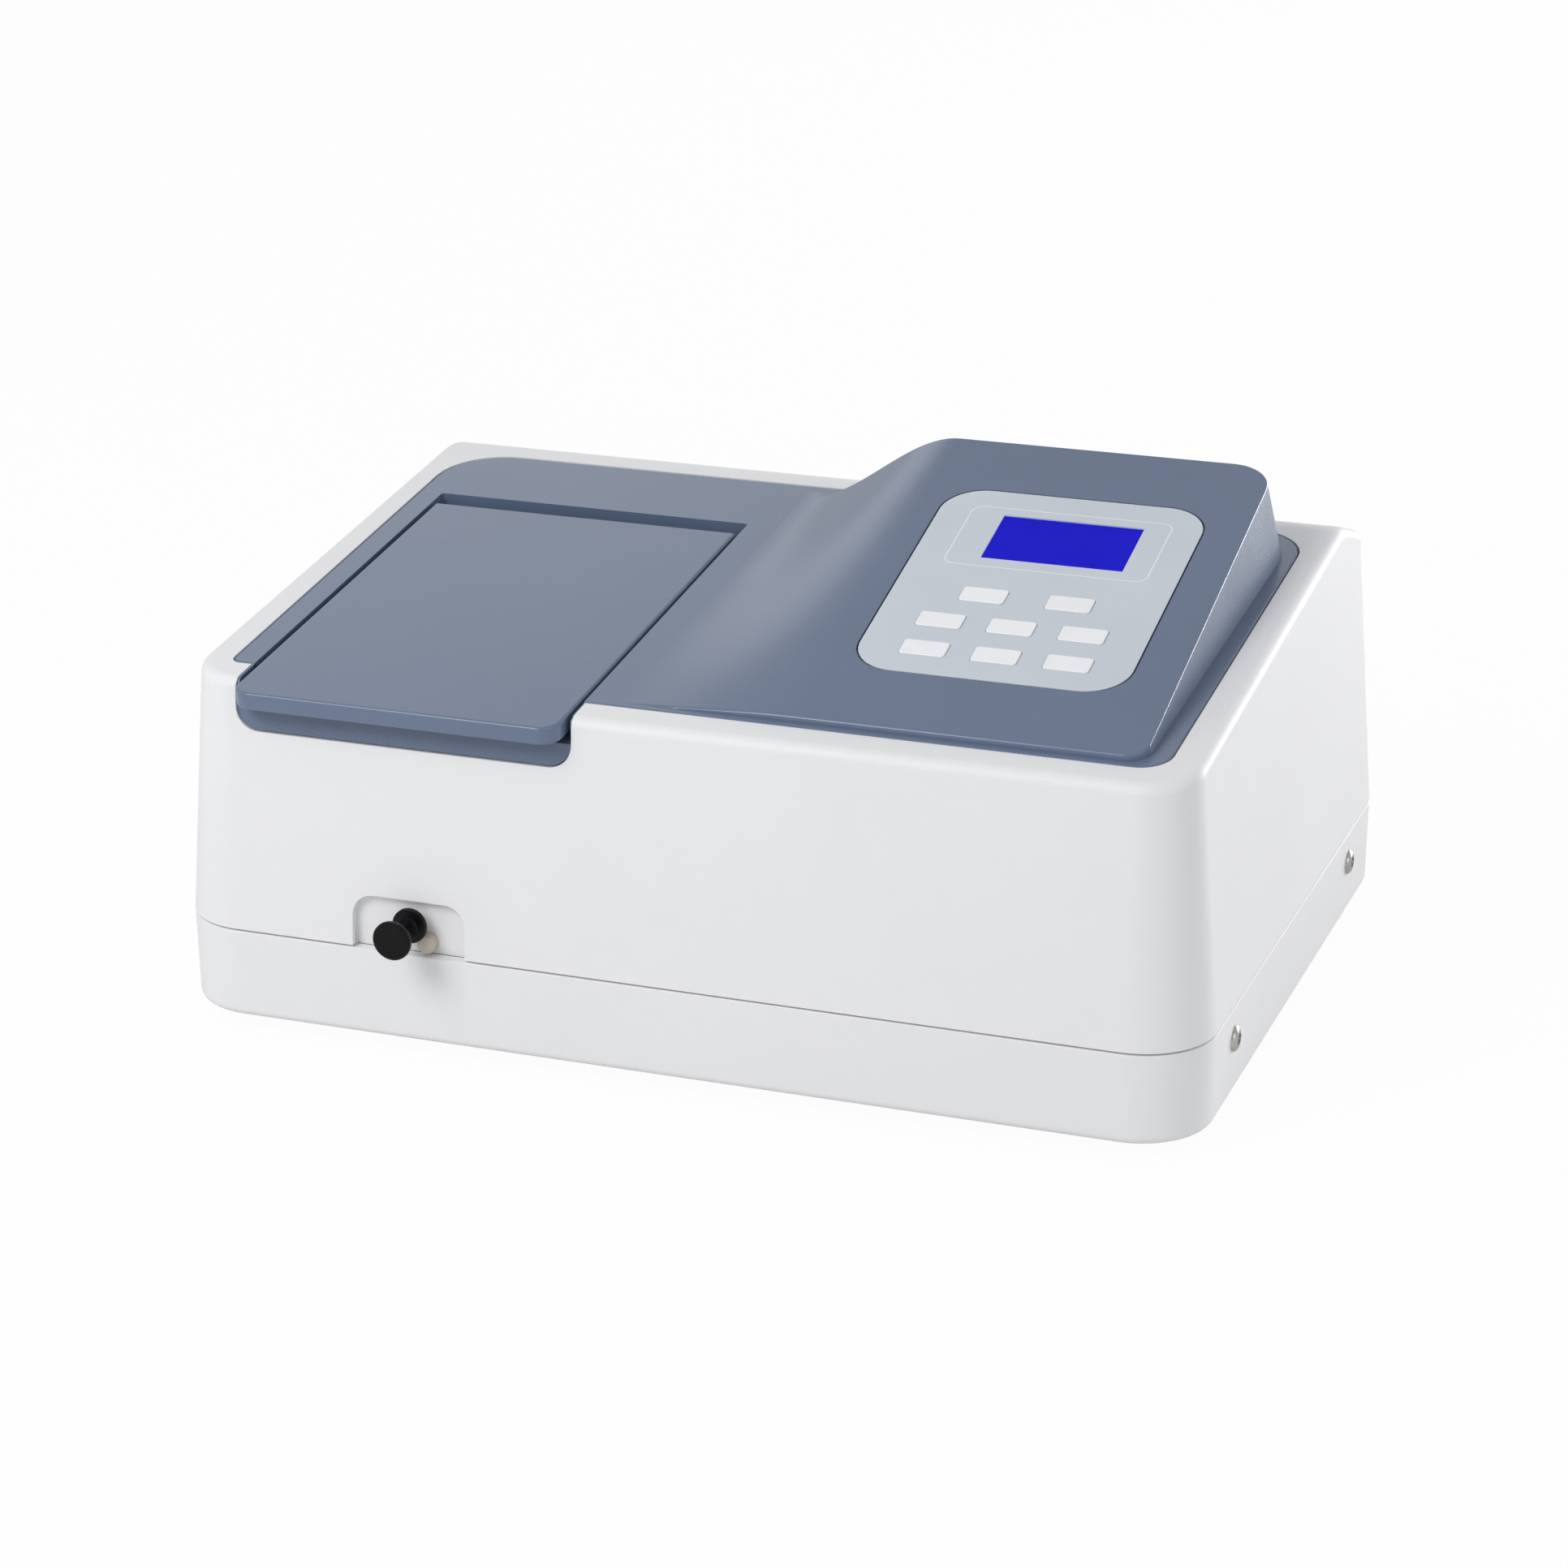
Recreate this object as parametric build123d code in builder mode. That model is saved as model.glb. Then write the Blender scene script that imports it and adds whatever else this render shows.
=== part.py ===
from build123d import *
import os
from math import atan, cos, degrees, radians, sin, tan

os.makedirs("parts", exist_ok=True)

# Case: a low tray, and an upper case with leaning walls and a sloping top. Millimetres.
case_width = 480
case_depth = 360
case_corner = 33.5
foot_height = 8
tray_height = 42.6
front_height = 159.8
top_slope = 6.06
wall_lean_in = 8.8
case_wall = 3
tray_wall = 5
tray_floor = 3
tray_lean_in = 0.5
tray_edge = 4
tongue_height = 4
tongue_gap = 0.6
parting_gap = 1
rim_radius = 5
ridge_back = 68
bevel_slope = 18.6
ridge_radius = 34
clear_through = 20

# Fits and small radii shared by many pieces
running_gap = 0.05
moving_gap = 0.3
fitting_gap = 0.1
small_round = 2

# Top cover, seated in the upper case
cover_front_margin = 25.5
cover_back_margin = 76.5
cover_side_margin = 24.5
cover_wall = 3
cover_gap = 0.5
cover_corners = (5, 14, 31, 26)
sharpest_corner = 1
cover_edge = 0.8
seat_ledge = 6
seat_root = 2
ledge_thickness = 2.5

# Sample compartment under the lid
well_wall = 2.5
well_front_margin = 30
well_length = 184
rod_from_well = 80.8

# Lid over the sample compartment, its recess and hinge
lid_side_margin = 38
lid_width = case_width / 3 - 4.8
lid_margin_back = 6.1
lid_margin_side = 2
lid_overhang = 4.1
lid_lip = 8.1
lid_wall = 3
lid_skirt = 2.5
lid_gap = 2
lid_groove = 11.4
recess_depth = 12
hinge_back = 4.2
hinge_depth = 6.5
hinge_pin_radius = 1.5
hinge_ring = 1.1
hinge_root = 1
lug_width = 14
ear_width = 4
lid_corner = 9
lid_edge = 1.2
hinge_inset = 16
seal_width = 3
seal_gap = 1
notch_height = 136.6
notch_corner = 11
notch_gap = 1
apron_recess = 1

# Control console on the cover
console_slope = 14.37
console_start = 2.3
console_riser = 2.5
console_lean = 11
console_from_lid = 16.8
console_flank = case_width / 6
console_front_margin = 33.7
console_back_margin = 30.4
console_front_step = 7
console_back_step = 6.5
console_corner_front = 10
console_corner_back = 27
console_blend = 23
console_reach = 60
console_overrun = 15

# Control panel plate, display and keys, on the console's slope
panel_from_crest = 9.8
panel_side_margin = 22.3
panel_from_cover = 42.3
panel_length = 156
panel_corner = 20
panel_recess = 1.4
panel_thickness = 0.8
panel_gap = 0.5
display_width = 66.2
display_length = 37.9
display_aside = 2.4
display_up = 38.8
key_width = 20.8
key_length = 11.4
key_corner = 1.6
key_proud = 1
key_edge = 0.5
plunger_length = 0.3
key_flange = 1.8
flange_thickness = 1.2
switch_radius = 3
switch_height = 1.6
window_lap = 2
window_thickness = 1.3
post_radius = 2.5
board_depth = 8
board_sheet = 1.6
module_depth = 5
module_thickness = 7
module_margin = 14
key_board_width = 112
key_board_length = 76
key_board_margin = 4
key_pitch = 32.6
key_pair_pitch = 39.7
key_row_pitch = 23.5
keys_aside = 0.3
keys_down = 11.5

# Pull rod, its knob and the pocket it stands in
rod_height = 57.2
rod_radius = 3
rod_hole_gap = 0.6
groove_depth = 0.5
groove_width = 1.2
knob_reach = 21.9
knob_front_radius = 9.1
knob_back_radius = 8.1
knob_waist_radius = 3.8
knob_length = 21.6
knob_round = 0.6
pocket_from_rod = 29.3
pocket_width = 54.5
pocket_top = 67.5
pocket_corner = 10
pocket_depth = 5.4
plug_offset_x = 6.2
plug_height = 47.8
plug_radius = 4.5
plug_lip = 1
plug_reach = 5
plug_edge = 0.6
bush_radius = 5
bush_flange = 3
bush_rim = 2
rod_grip = 5
knob_bore = 15

# Cell carriage
cell_pitch = 20
cell_slot = 12.6
cell_count = 4
carriage_from_back = 8
carriage_wall = 5.7
carriage_width = 60
carriage_block = 26
carriage_base = 12
carriage_corner = 3
slot_floor = 43
carriage_top = 78
rail_radius = 4
rail_spacing = 44
rail_height = 34
beam_height = 58
beam_radius = 6
beam_window = 10
beam_window_width = 8

# Optical bench
bench_thickness = 8
bench_lift = 9
bench_margin = 22
bench_back_margin = 48
bench_corner = 12
bench_to_boards = 14
bolt_head_radius = 4.5
bolt_head_height = 3
bench_bolt_inset_x = 8
bench_bolt_inset_y = 15

# Detector behind the compartment's left wall
detector_from_well = 17
detector_depth = 15
detector_width = 36
detector_top = 80
snout_radius = 8
detector_plug = 6
detector_plug_lift = 10

# Monochromator
mono_from_well = 6
mono_from_bench = 14
mono_length = 0.45 * case_depth
mono_top = 84
mono_wall = 4
mono_screw_inset = 7
entrance_from_side = 24
light_hole = 4
slit_plate = 24
slit_gap = 1
mirror_height = 50
mirror_thickness = 8
mirror_turn = 8
grating_aside = 30
grating_from_back = 42
grating_motor_radius = 17.5
grating_motor_height = 22
grating_width = 30
grating_thickness = 6
grating_height = 26
grating_table = 13
shaft_radius = 2.5
shaft_length = 5

# Order-sorting filters between the monochromator and the lamp house
filter_from_mono = 10
filter_orbit = 17
filter_wheel_radius = 24
filter_wheel_thickness = 3
filter_hole = 5
filter_count = 6
filter_motor_radius = 12
filter_motor_length = 18
filter_motor_gap = 1.5
bracket_inset = 2

# Lamp house
lamp_width = 76
lamp_from_mono = 36
lamp_from_bench = 4
lamp_top = 112
lamp_wall = 2
lamp_vent_width = 4
lamp_vent_pitch = 10
lamp_vent_inset = 12
halogen_from_side = 20
halogen_radius = 6
lamps_apart = 26
deuterium_from_back = 18
deuterium_radius = 10
lamp_base_height = 14
flip_mirror = 20
flip_motor_radius = 10
flip_motor_height = 18

# Rear panel with its sockets and fan, in a window of the back wall
window_width = 275
window_side_margin = 35
window_low = 52
window_high = 142
window_rim = 5.5
rear_set_in = 11.5
rear_sheet = 1.5
rear_screw_inset = 2.7
fan_from_window = 130
fan_height = 97
fan_size = 80
fan_depth = 25
fan_bore = 37.5
fan_corner = 6
fan_hub = 14
fan_tip = 36
fan_blades = 7
blade_thickness = 1.6
fan_shaft = 1.5
fan_strut = 3
fan_hole_inset = 4.5
wire = 1.6
eye_radius = 4.2
vent_length = 50
vent_width = 3
vent_pitch = 8
inlet_from_window = 30
inlet_height = 75
inlet_width = 27
inlet_length = 20
inlet_mouth_width = 24
inlet_mouth_length = 16.4
inlet_mouth_depth = 17
inlet_mouth_chamfer = 4
inlet_body = 22
contact_width = 2
contact_length = 4
contact_spread = 7
bezel = 2
bezel_corner = 1.5
switch_height_up = 115
switch_width = 21
switch_length = 27
rocker_width = 15
rocker_length = 19
rocker_pivot = 2.5
rocker_pin = 1.4
rocker_rise = 6.5
rocker_hollow = 5
rocker_shoulder = 3
rocker_depth = 4
port_from_window = 77
port_width = 18
port_length = 9
port_flange_side = 6.5
port_flange_rise = 1.75
port_shell = 0.6
fuse_radius = 6
fuse_slot = 1.2

# Fasteners and feet
foot_radius = 12
foot_inset = 55
foot_draft = 6
side_screw_height = 27.4
side_screw_from_front = 65.1
side_screw_from_back = 73.7
screw_head_radius = 6
screw_head_height = 2.4
screw_radius = 2.4
screw_length = 11
foot_stem_radius = 4
tab_width = 16
tab_thickness = 4
tab_low = 17
tab_gap = 0.4
tab_root = 20
tab_step = 14

# Bosses and circuit boards on the tray's floor
boss_radius = 8
board_side_margin = 68
board_width = 100
board_length = 120
board_lift = 10
board_corner = 3
board_hole_inset = 5
main_board_from_front = 102
power_board_from_back = 104
tray_vent_width = 4
tray_vent_pitch = 12
tray_vent_length = 70
tray_vents = 7
chip_width = 24
logic_width = 12
logic_length = 18
connector_width = 9
connector_length = 18
connector_pitch = 26
connector_inset = 12
capacitor_radius = 5
capacitor_pitch = 16
tall_part = 10
bulk_capacitor_radius = 11
filter_coil_width = 26
filter_coil_length = 16
supply_height = 25
sink_thickness = 4
sink_height = 32
sink_fin = 12
sink_fin_thickness = 2
sink_fin_pitch = 10
sink_fins = 8
transformer_core = 40
transformer_core_length = 14
transformer_height = 36
coil_width = 28
coil_length = 34
coil_corner = 6
coil_height = 26

# Worked-out values and the frames that the pieces are drawn in
case_front = -case_depth / 2
case_back = case_depth / 2
case_side = case_width / 2
knob_front = case_front - knob_reach
mid_y = knob_reach / 2
base = Plane((0, mid_y, foot_height))
wall_lean = degrees(atan(wall_lean_in / (front_height - tray_height)))
top_front_y = case_front + wall_lean_in
rise = tan(radians(top_slope))
console_rise = tan(radians(console_slope))
along = 1 / cos(radians(top_slope))
case_low = tray_height + parting_gap / 2
tray_top = tray_height - parting_gap / 2
lid_left = -case_side + lid_side_margin
lid_right = lid_left + lid_width
well_left = lid_left + lid_margin_side
well_width = lid_width - 2 * lid_margin_side - 1.2
well_front = case_front + well_front_margin
lid_back = well_front + well_length + lid_margin_back
rod_x = well_left + rod_from_well
pocket_left = rod_x - pocket_from_rod
side_screw_front = case_front + side_screw_from_front
side_screw_back = case_back - side_screw_from_back
window_right = case_side - window_side_margin
window_left = window_right - window_width


def top_height(y):
    """Height of the case's sloping top above the tray's underside."""
    return front_height + (y - top_front_y) * rise


def wall_y(height):
    """Depth of the front wall's outer face at a height, from the case's centre."""
    return case_front + (height - case_low) * tan(radians(wall_lean))


def side_plane(x):
    """Frame of a side view at x: local x runs back, local y runs up."""
    return Plane((x, mid_y, foot_height), x_dir=(0, 1, 0), z_dir=(1, 0, 0))


def front_plane(y):
    """Frame of a front view at depth y: local x runs right, local y runs up, and it faces the front."""
    return Plane((0, mid_y + y, foot_height), x_dir=(1, 0, 0), z_dir=(0, -1, 0))


def tilted(height, slope):
    """Frame lying on a slope that rises to the back, at the case's centre line."""
    normal = (0, -sin(radians(slope)), cos(radians(slope)))
    return Plane((0, mid_y, foot_height + height), x_dir=(1, 0, 0), z_dir=normal)


cover_front = case_front + cover_front_margin
cover_back = case_back - cover_back_margin
top = tilted(top_height(0), top_slope)
console_height = top_height(cover_front) + console_start - cover_front * console_rise
console = tilted(console_height, console_slope)


def case_block(inset, drop, rim, low):
    """The upper case's outer form, drawn in by inset, its top lowered by drop and its rim rounded."""
    spread = (case_low - low) * tan(radians(wall_lean))
    ridge_y = case_back - ridge_back
    ridge_height = top_height(ridge_y) - drop
    reach = case_back + clear_through
    fall = tan(radians(bevel_slope))
    with BuildPart() as block:
        with BuildSketch(base.offset(low)):
            RectangleRounded(
                case_width - 2 * inset + 2 * spread,
                case_depth - 2 * inset + 2 * spread,
                case_corner - inset + spread,
            )
        extrude(amount=front_height, taper=wall_lean)
        with BuildSketch(side_plane(0)):
            with BuildLine():
                FilletPolyline(
                    (-reach, top_height(-reach) - drop),
                    (ridge_y, ridge_height),
                    (reach, ridge_height - (reach - ridge_y) * fall),
                    radius=ridge_radius,
                )
                Polyline(
                    (reach, ridge_height - (reach - ridge_y) * fall),
                    (reach, 0),
                    (-reach, 0),
                    (-reach, top_height(-reach) - drop),
                )
            make_face()
        extrude(amount=case_width, both=True, mode=Mode.INTERSECT)
        if rim:
            high = block.edges().filter_by(lambda e: e.center().Z > foot_height + 0.7 * front_height)
            outside = 0.4 * case_depth
            fillet(
                high.filter_by(
                    lambda e: abs(e.center().X) > outside or abs(e.center().Y - mid_y) > outside
                ),
                rim,
            )
    return block.part


def cover_outline(growth):
    """Outline of the top cover on the sloping top, grown by growth."""
    width = case_width - 2 * cover_side_margin
    length = (cover_back - cover_front) * along
    with BuildSketch() as outline:
        with Locations((0, (cover_back + cover_front) / 2 * along)):
            Rectangle(width + 2 * growth, length + 2 * growth)
        corners = outline.vertices().sort_by(Axis.Y)
        corners = corners[:2].sort_by(Axis.X) + corners[2:].sort_by(Axis.X)
        for corner, radius in zip(corners, cover_corners):
            fillet(
                outline.vertices().sort_by_distance(corner)[0],
                max(radius + growth, sharpest_corner),
            )
    return outline.sketch


# Upper case: leaning shell with the cover's seat, the apron's notch, the knob's pocket and the rear window
recess_left = lid_left - lid_gap
recess_right = lid_right + lid_gap
recess_back = lid_back + lid_groove
tub_floor = recess_depth + cover_wall
pocket_face = case_front + pocket_depth
pocket_middle = (pocket_left + pocket_width / 2, (case_low + pocket_top) / 2)
rear_face = case_back - rear_set_in
window_middle = ((window_left + window_right) / 2, (window_low + window_high) / 2)
window_size = (window_right - window_left, window_high - window_low)
tab_high = case_low + tab_root

with BuildPart() as wall_linings:
    # Backing of the knob's pocket and rim of the rear window, trimmed to the leaning walls
    with BuildSketch(front_plane(pocket_face + case_wall)):
        with Locations((pocket_middle[0], (case_low + pocket_top + case_wall) / 2)):
            Rectangle(pocket_width + 2 * case_wall, pocket_top + case_wall - case_low)
    extrude(amount=2 * pocket_depth)
    with BuildSketch(front_plane(rear_face)):
        with Locations(window_middle):
            Rectangle(window_size[0] + 2 * window_rim, window_size[1] + 2 * window_rim)
            Rectangle(*window_size, mode=Mode.SUBTRACT)
    extrude(amount=-rear_set_in)
    # Tabs that reach down inside the tray for the side screws
    for side in (-1, 1):
        for y in (side_screw_front, side_screw_back):
            tab_face = side * (case_side - tray_wall - tab_gap)
            with BuildSketch(side_plane(tab_face)):
                with Locations((y, (tab_low + tab_high) / 2)):
                    Rectangle(tab_width, tab_high - tab_low)
            extrude(amount=-side * tab_thickness)
            with BuildSketch(side_plane(tab_face)):
                with Locations((y, tab_high - tab_step / 2)):
                    Rectangle(tab_width, tab_step)
            extrude(amount=side * tray_wall)
    add(case_block(0, 0, 0, tab_low - parting_gap), mode=Mode.INTERSECT)

with BuildPart() as upper_case:
    add(case_block(0, 0, rim_radius, case_low))
    add(case_block(case_wall, case_wall, 0, case_low), mode=Mode.SUBTRACT)
    add(wall_linings.part)
    # Opening for the cover, and the ledge that the cover lies on
    with BuildSketch(top):
        add(cover_outline(cover_gap))
    extrude(amount=2 * case_wall, both=True, mode=Mode.SUBTRACT)
    with BuildSketch(top.offset(-cover_wall)):
        add(cover_outline(cover_gap + seat_root))
        add(cover_outline(-seat_ledge), mode=Mode.SUBTRACT)
    extrude(amount=-ledge_thickness)
    # Notch that lets the cover's apron through the front wall, and room for the recess behind it
    with BuildSketch(front_plane(cover_front)) as notch:
        with BuildLine():
            Polyline(
                (recess_left - notch_gap, front_height + clear_through),
                (recess_left - notch_gap, notch_height),
                (recess_right + notch_gap, notch_height),
                (recess_right + notch_gap, front_height + clear_through),
                close=True,
            )
        make_face()
        fillet(notch.vertices().group_by(Axis.Y)[0], notch_corner)
    extrude(amount=case_depth / 2, mode=Mode.SUBTRACT)
    with BuildSketch(top):
        with Locations(((recess_left + recess_right) / 2, cover_front * along)):
            Rectangle(
                recess_right - recess_left + 2 * cover_wall + 2 * cover_gap,
                2 * cover_gap,
                align=(Align.CENTER, Align.MAX),
            )
            Rectangle(
                recess_right - recess_left + 2 * cover_wall + 2 * cover_gap,
                2 * seat_ledge,
                align=(Align.CENTER, Align.MIN),
            )
    extrude(amount=-tub_floor - cover_wall, mode=Mode.SUBTRACT)
    # Pocket of the pull knob, open at the parting line, with the rod's hole and the plug's hole
    with BuildSketch(front_plane(pocket_face)) as pocket:
        with Locations(pocket_middle):
            Rectangle(pocket_width, pocket_top - case_low)
        fillet(pocket.vertices().group_by(Axis.Y)[-1], pocket_corner)
    extrude(amount=2 * pocket_depth, mode=Mode.SUBTRACT)
    with BuildSketch(front_plane(pocket_face + 2 * case_wall)):
        with Locations((rod_x, rod_height)):
            Circle(rod_radius + rod_hole_gap)
        with Locations((rod_x + plug_offset_x, plug_height)):
            Circle(plug_radius - plug_lip)
    extrude(amount=3 * case_wall, mode=Mode.SUBTRACT)
    # Window of the rear panel
    with BuildSketch(front_plane(rear_face)):
        with Locations(window_middle):
            Rectangle(*window_size)
    extrude(amount=-2 * rear_set_in, mode=Mode.SUBTRACT)
    with BuildSketch(front_plane(rear_face)):
        with Locations(window_middle):
            with GridLocations(
                window_size[0] + 2 * rear_screw_inset, window_size[1] + 2 * rear_screw_inset, 2, 2
            ):
                Circle(screw_radius / 2 + running_gap)
    extrude(amount=-2 * rear_sheet, mode=Mode.SUBTRACT)
    # Screw holes in the tabs
    for y in (side_screw_front, side_screw_back):
        with BuildSketch(side_plane(0)):
            with Locations((y, side_screw_height)):
                Circle(screw_radius + running_gap)
        extrude(amount=case_width, both=True, mode=Mode.SUBTRACT)
upper_case.part.label = "upper_case"
export_step(upper_case.part, "parts/upper_case.step")

# Base tray: open moulding with a locating tongue, bosses, vents and the screws' holes
foot_places = [
    (sx * (case_side - foot_inset), sy * (case_back - foot_inset))
    for sx in (-1, 1)
    for sy in (-1, 1)
]
board_x = case_side - board_side_margin
main_board_y = case_front + main_board_from_front
power_board_y = case_back - power_board_from_back
board_holes = (board_width - 2 * board_hole_inset, board_length - 2 * board_hole_inset)
bench_left = -case_side + bench_margin
bench_right = board_x - board_width / 2 - bench_to_boards
bench_front = case_front + bench_margin
bench_back = case_back - bench_back_margin
bench_middle = ((bench_left + bench_right) / 2, (bench_front + bench_back) / 2)
bench_bosses = (
    bench_right - bench_left - 2 * bench_bolt_inset_x,
    bench_back - bench_front - 2 * bench_bolt_inset_y,
)
tongue_inset = case_wall + tongue_gap
with BuildPart() as base_tray:
    with BuildSketch(base):
        RectangleRounded(
            case_width - 2 * tray_lean_in,
            case_depth - 2 * tray_lean_in,
            case_corner - tray_lean_in,
        )
    extrude(amount=tray_top, taper=-degrees(atan(tray_lean_in / tray_top)))
    fillet(base_tray.faces().sort_by(Axis.Z)[0].edges(), tray_edge)
    with BuildSketch(base.offset(tray_floor)):
        RectangleRounded(
            case_width - 2 * tray_wall,
            case_depth - 2 * tray_wall,
            case_corner - tray_wall,
        )
    extrude(amount=tray_height, mode=Mode.SUBTRACT)
    with BuildSketch(base.offset(tray_top - tray_floor)):
        RectangleRounded(
            case_width - 2 * tongue_inset, case_depth - 2 * tongue_inset, case_corner - tongue_inset
        )
        RectangleRounded(
            case_width - 2 * tray_wall,
            case_depth - 2 * tray_wall,
            case_corner - tray_wall,
            mode=Mode.SUBTRACT,
        )
    extrude(amount=tray_floor + tongue_height)
    # The tongue stops at the knob's pocket and at the case's tabs
    with BuildSketch(base.offset(tray_top)):
        with Locations((pocket_middle[0], case_front)):
            Rectangle(pocket_width + 2 * case_wall + parting_gap, 6 * tray_wall)
        for y in (side_screw_front, side_screw_back):
            with Locations((0, y)):
                Rectangle(case_width, tab_width + parting_gap)
    extrude(amount=2 * tongue_height, mode=Mode.SUBTRACT)
    # Bosses for the optical bench and for the circuit boards
    with BuildSketch(base.offset(tray_floor)):
        with Locations(bench_middle):
            with GridLocations(*bench_bosses, 2, 2):
                Circle(boss_radius)
    extrude(amount=bench_lift)
    with BuildSketch(base.offset(tray_floor)):
        for y in (main_board_y, power_board_y):
            with Locations((board_x, y)):
                with GridLocations(*board_holes, 2, 2):
                    Circle(boss_radius / 2)
    extrude(amount=board_lift)
    with BuildSketch(base.offset(tray_floor + parting_gap)):
        with Locations(bench_middle):
            with GridLocations(*bench_bosses, 2, 2):
                Circle(screw_radius + running_gap)
    extrude(amount=bench_lift, mode=Mode.SUBTRACT)
    # Vent slots in the floor under the power supply
    with BuildSketch(base):
        with Locations((board_x, power_board_y)):
            with GridLocations(tray_vent_pitch, 0, tray_vents, 1):
                SlotOverall(tray_vent_length, tray_vent_width, rotation=90)
    extrude(amount=tray_floor, mode=Mode.SUBTRACT)
    with BuildSketch(base):
        with Locations(*foot_places):
            Circle(foot_stem_radius)
    extrude(amount=tray_floor, mode=Mode.SUBTRACT)
    for y in (side_screw_front, side_screw_back):
        with BuildSketch(side_plane(0)):
            with Locations((y, side_screw_height)):
                Circle(screw_radius + running_gap)
        extrude(amount=case_width, both=True, mode=Mode.SUBTRACT)
base_tray.part.label = "base_tray"
export_step(base_tray.part, "parts/base_tray.step")

with BuildPart() as rubber_feet:
    for place in foot_places:
        with BuildSketch(base):
            with Locations(place):
                Circle(foot_radius)
        extrude(amount=-foot_height, taper=foot_draft)
        with BuildSketch(base):
            with Locations(place):
                Circle(foot_stem_radius - running_gap)
        extrude(amount=tray_floor)
rubber_feet.part.label = "rubber_feet"
export_step(rubber_feet.part, "parts/rubber_feet.step")

# Domed side screws: shank through the tray's wall into the case's tab
screw_seat = case_side - tray_lean_in * (1 - (side_screw_height + screw_head_radius) / tray_top)
with BuildPart() as side_screws:
    for side in (-1, 1):
        for y in (side_screw_front, side_screw_back):
            with BuildSketch(side_plane(side * screw_seat)):
                with Locations((y, side_screw_height)):
                    Circle(screw_head_radius)
            extrude(amount=side * screw_head_height)
            with BuildSketch(side_plane(side * screw_seat)):
                with Locations((y, side_screw_height)):
                    Circle(screw_radius)
            extrude(amount=-side * screw_length)
    ends = side_screws.edges().filter_by(GeomType.CIRCLE).sort_by(Axis.X)
    fillet(ends[:2] + ends[-2:], 0.9 * screw_head_height)
side_screws.part.label = "side_screws"
export_step(side_screws.part, "parts/side_screws.step")


console_left = lid_right + console_from_lid
console_crest = console_left + console_flank
console_right_front = case_side - console_front_margin
console_right_back = case_side - console_back_margin


def console_outline(inset):
    """Plan of the console on the cover's slope, drawn in by inset."""
    front = (cover_front + console_front_step) * along
    back = (cover_back - console_back_step) * along
    left = console_left - console_blend
    with BuildSketch() as outline:
        with BuildLine():
            Polyline(
                (left, front),
                (console_right_front, front),
                (console_right_back, back),
                (left, back),
                close=True,
            )
        make_face()
        fillet(outline.vertices().sort_by_distance((console_right_front, front))[0], console_corner_front)
        fillet(outline.vertices().sort_by_distance((console_right_back, back))[0], console_corner_back)
        if inset:
            offset(amount=-inset, mode=Mode.REPLACE)
    return outline.sketch


def console_wedge(drop):
    """Ruled wedge under the console's top: an S-curve flank that grows from the front to the back."""
    left = console_left - console_blend - console_overrun
    right = console_right_back + console_overrun
    with BuildPart() as wedge:
        for y in (cover_front - console_overrun, cover_back + console_overrun):
            low = top_height(y) - drop
            high = console_height + y * console_rise - drop
            step = high - low
            with BuildSketch(front_plane(y)):
                with BuildLine():
                    Polyline(
                        (console_left, low),
                        (left, low),
                        (left, low - console_reach),
                        (right, low - console_reach),
                        (right, high),
                        (console_crest, high),
                    )
                    Spline(
                        (console_crest, high),
                        (console_crest - console_blend, high - 0.2 * step),
                        (console_left + console_blend, low + 0.2 * step),
                        (console_left, low),
                        tangents=[(-1, 0), (-1, 0)],
                    )
                make_face()
        loft(ruled=True)
    return wedge.part


def console_block(inset, drop, depth):
    """The console's outer form: walls that lean inwards above a low riser, under the wedge's top."""
    with BuildPart() as block:
        with BuildSketch(top.offset(-depth)):
            add(console_outline(inset))
        extrude(amount=depth + console_riser)
        with BuildSketch(top.offset(console_riser)):
            add(console_outline(inset))
        extrude(amount=console_reach, taper=console_lean)
        add(console_wedge(drop), mode=Mode.INTERSECT)
    return block.part


# Top cover: plate, recessed tub for the lid with its apron and hinge ears, and the hollow console
well_middle = (well_left + well_width / 2, well_front + well_length / 2)
hinge_y = lid_back + hinge_back
hinge_z = top_height(hinge_y) - hinge_depth * along
hinge_ring_radius = hinge_pin_radius + hinge_ring
hinge_places = (lid_left + hinge_inset, lid_right - hinge_inset)
panel_left = console_crest + panel_from_crest
panel_width = console_right_front - panel_side_margin - panel_left
panel_middle = (panel_left + panel_width / 2, cover_front + panel_from_cover + panel_length / 2)
display_x = panel_middle[0] + display_aside
display_y = panel_middle[1] + display_up
key_centre_x = panel_middle[0] + keys_aside
key_first_row = panel_middle[1] - keys_down
key_places = [
    (key_centre_x + column * key_pair_pitch, key_first_row)
    for column in (-0.5, 0.5)
] + [
    (key_centre_x + column * key_pitch, key_first_row - row * key_row_pitch)
    for row in (1, 2)
    for column in (-1, 0, 1)
]
board_posts = (key_board_width - 2 * key_board_margin, key_board_length - 2 * key_board_margin)
module_posts = (display_width + module_margin, display_length + window_lap)
key_board_middle = (key_centre_x, key_first_row - key_row_pitch)


def tub_floor_height(y, depth):
    """Height of a plane that lies depth below the sloping top."""
    return top_height(y) - depth * along


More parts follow.
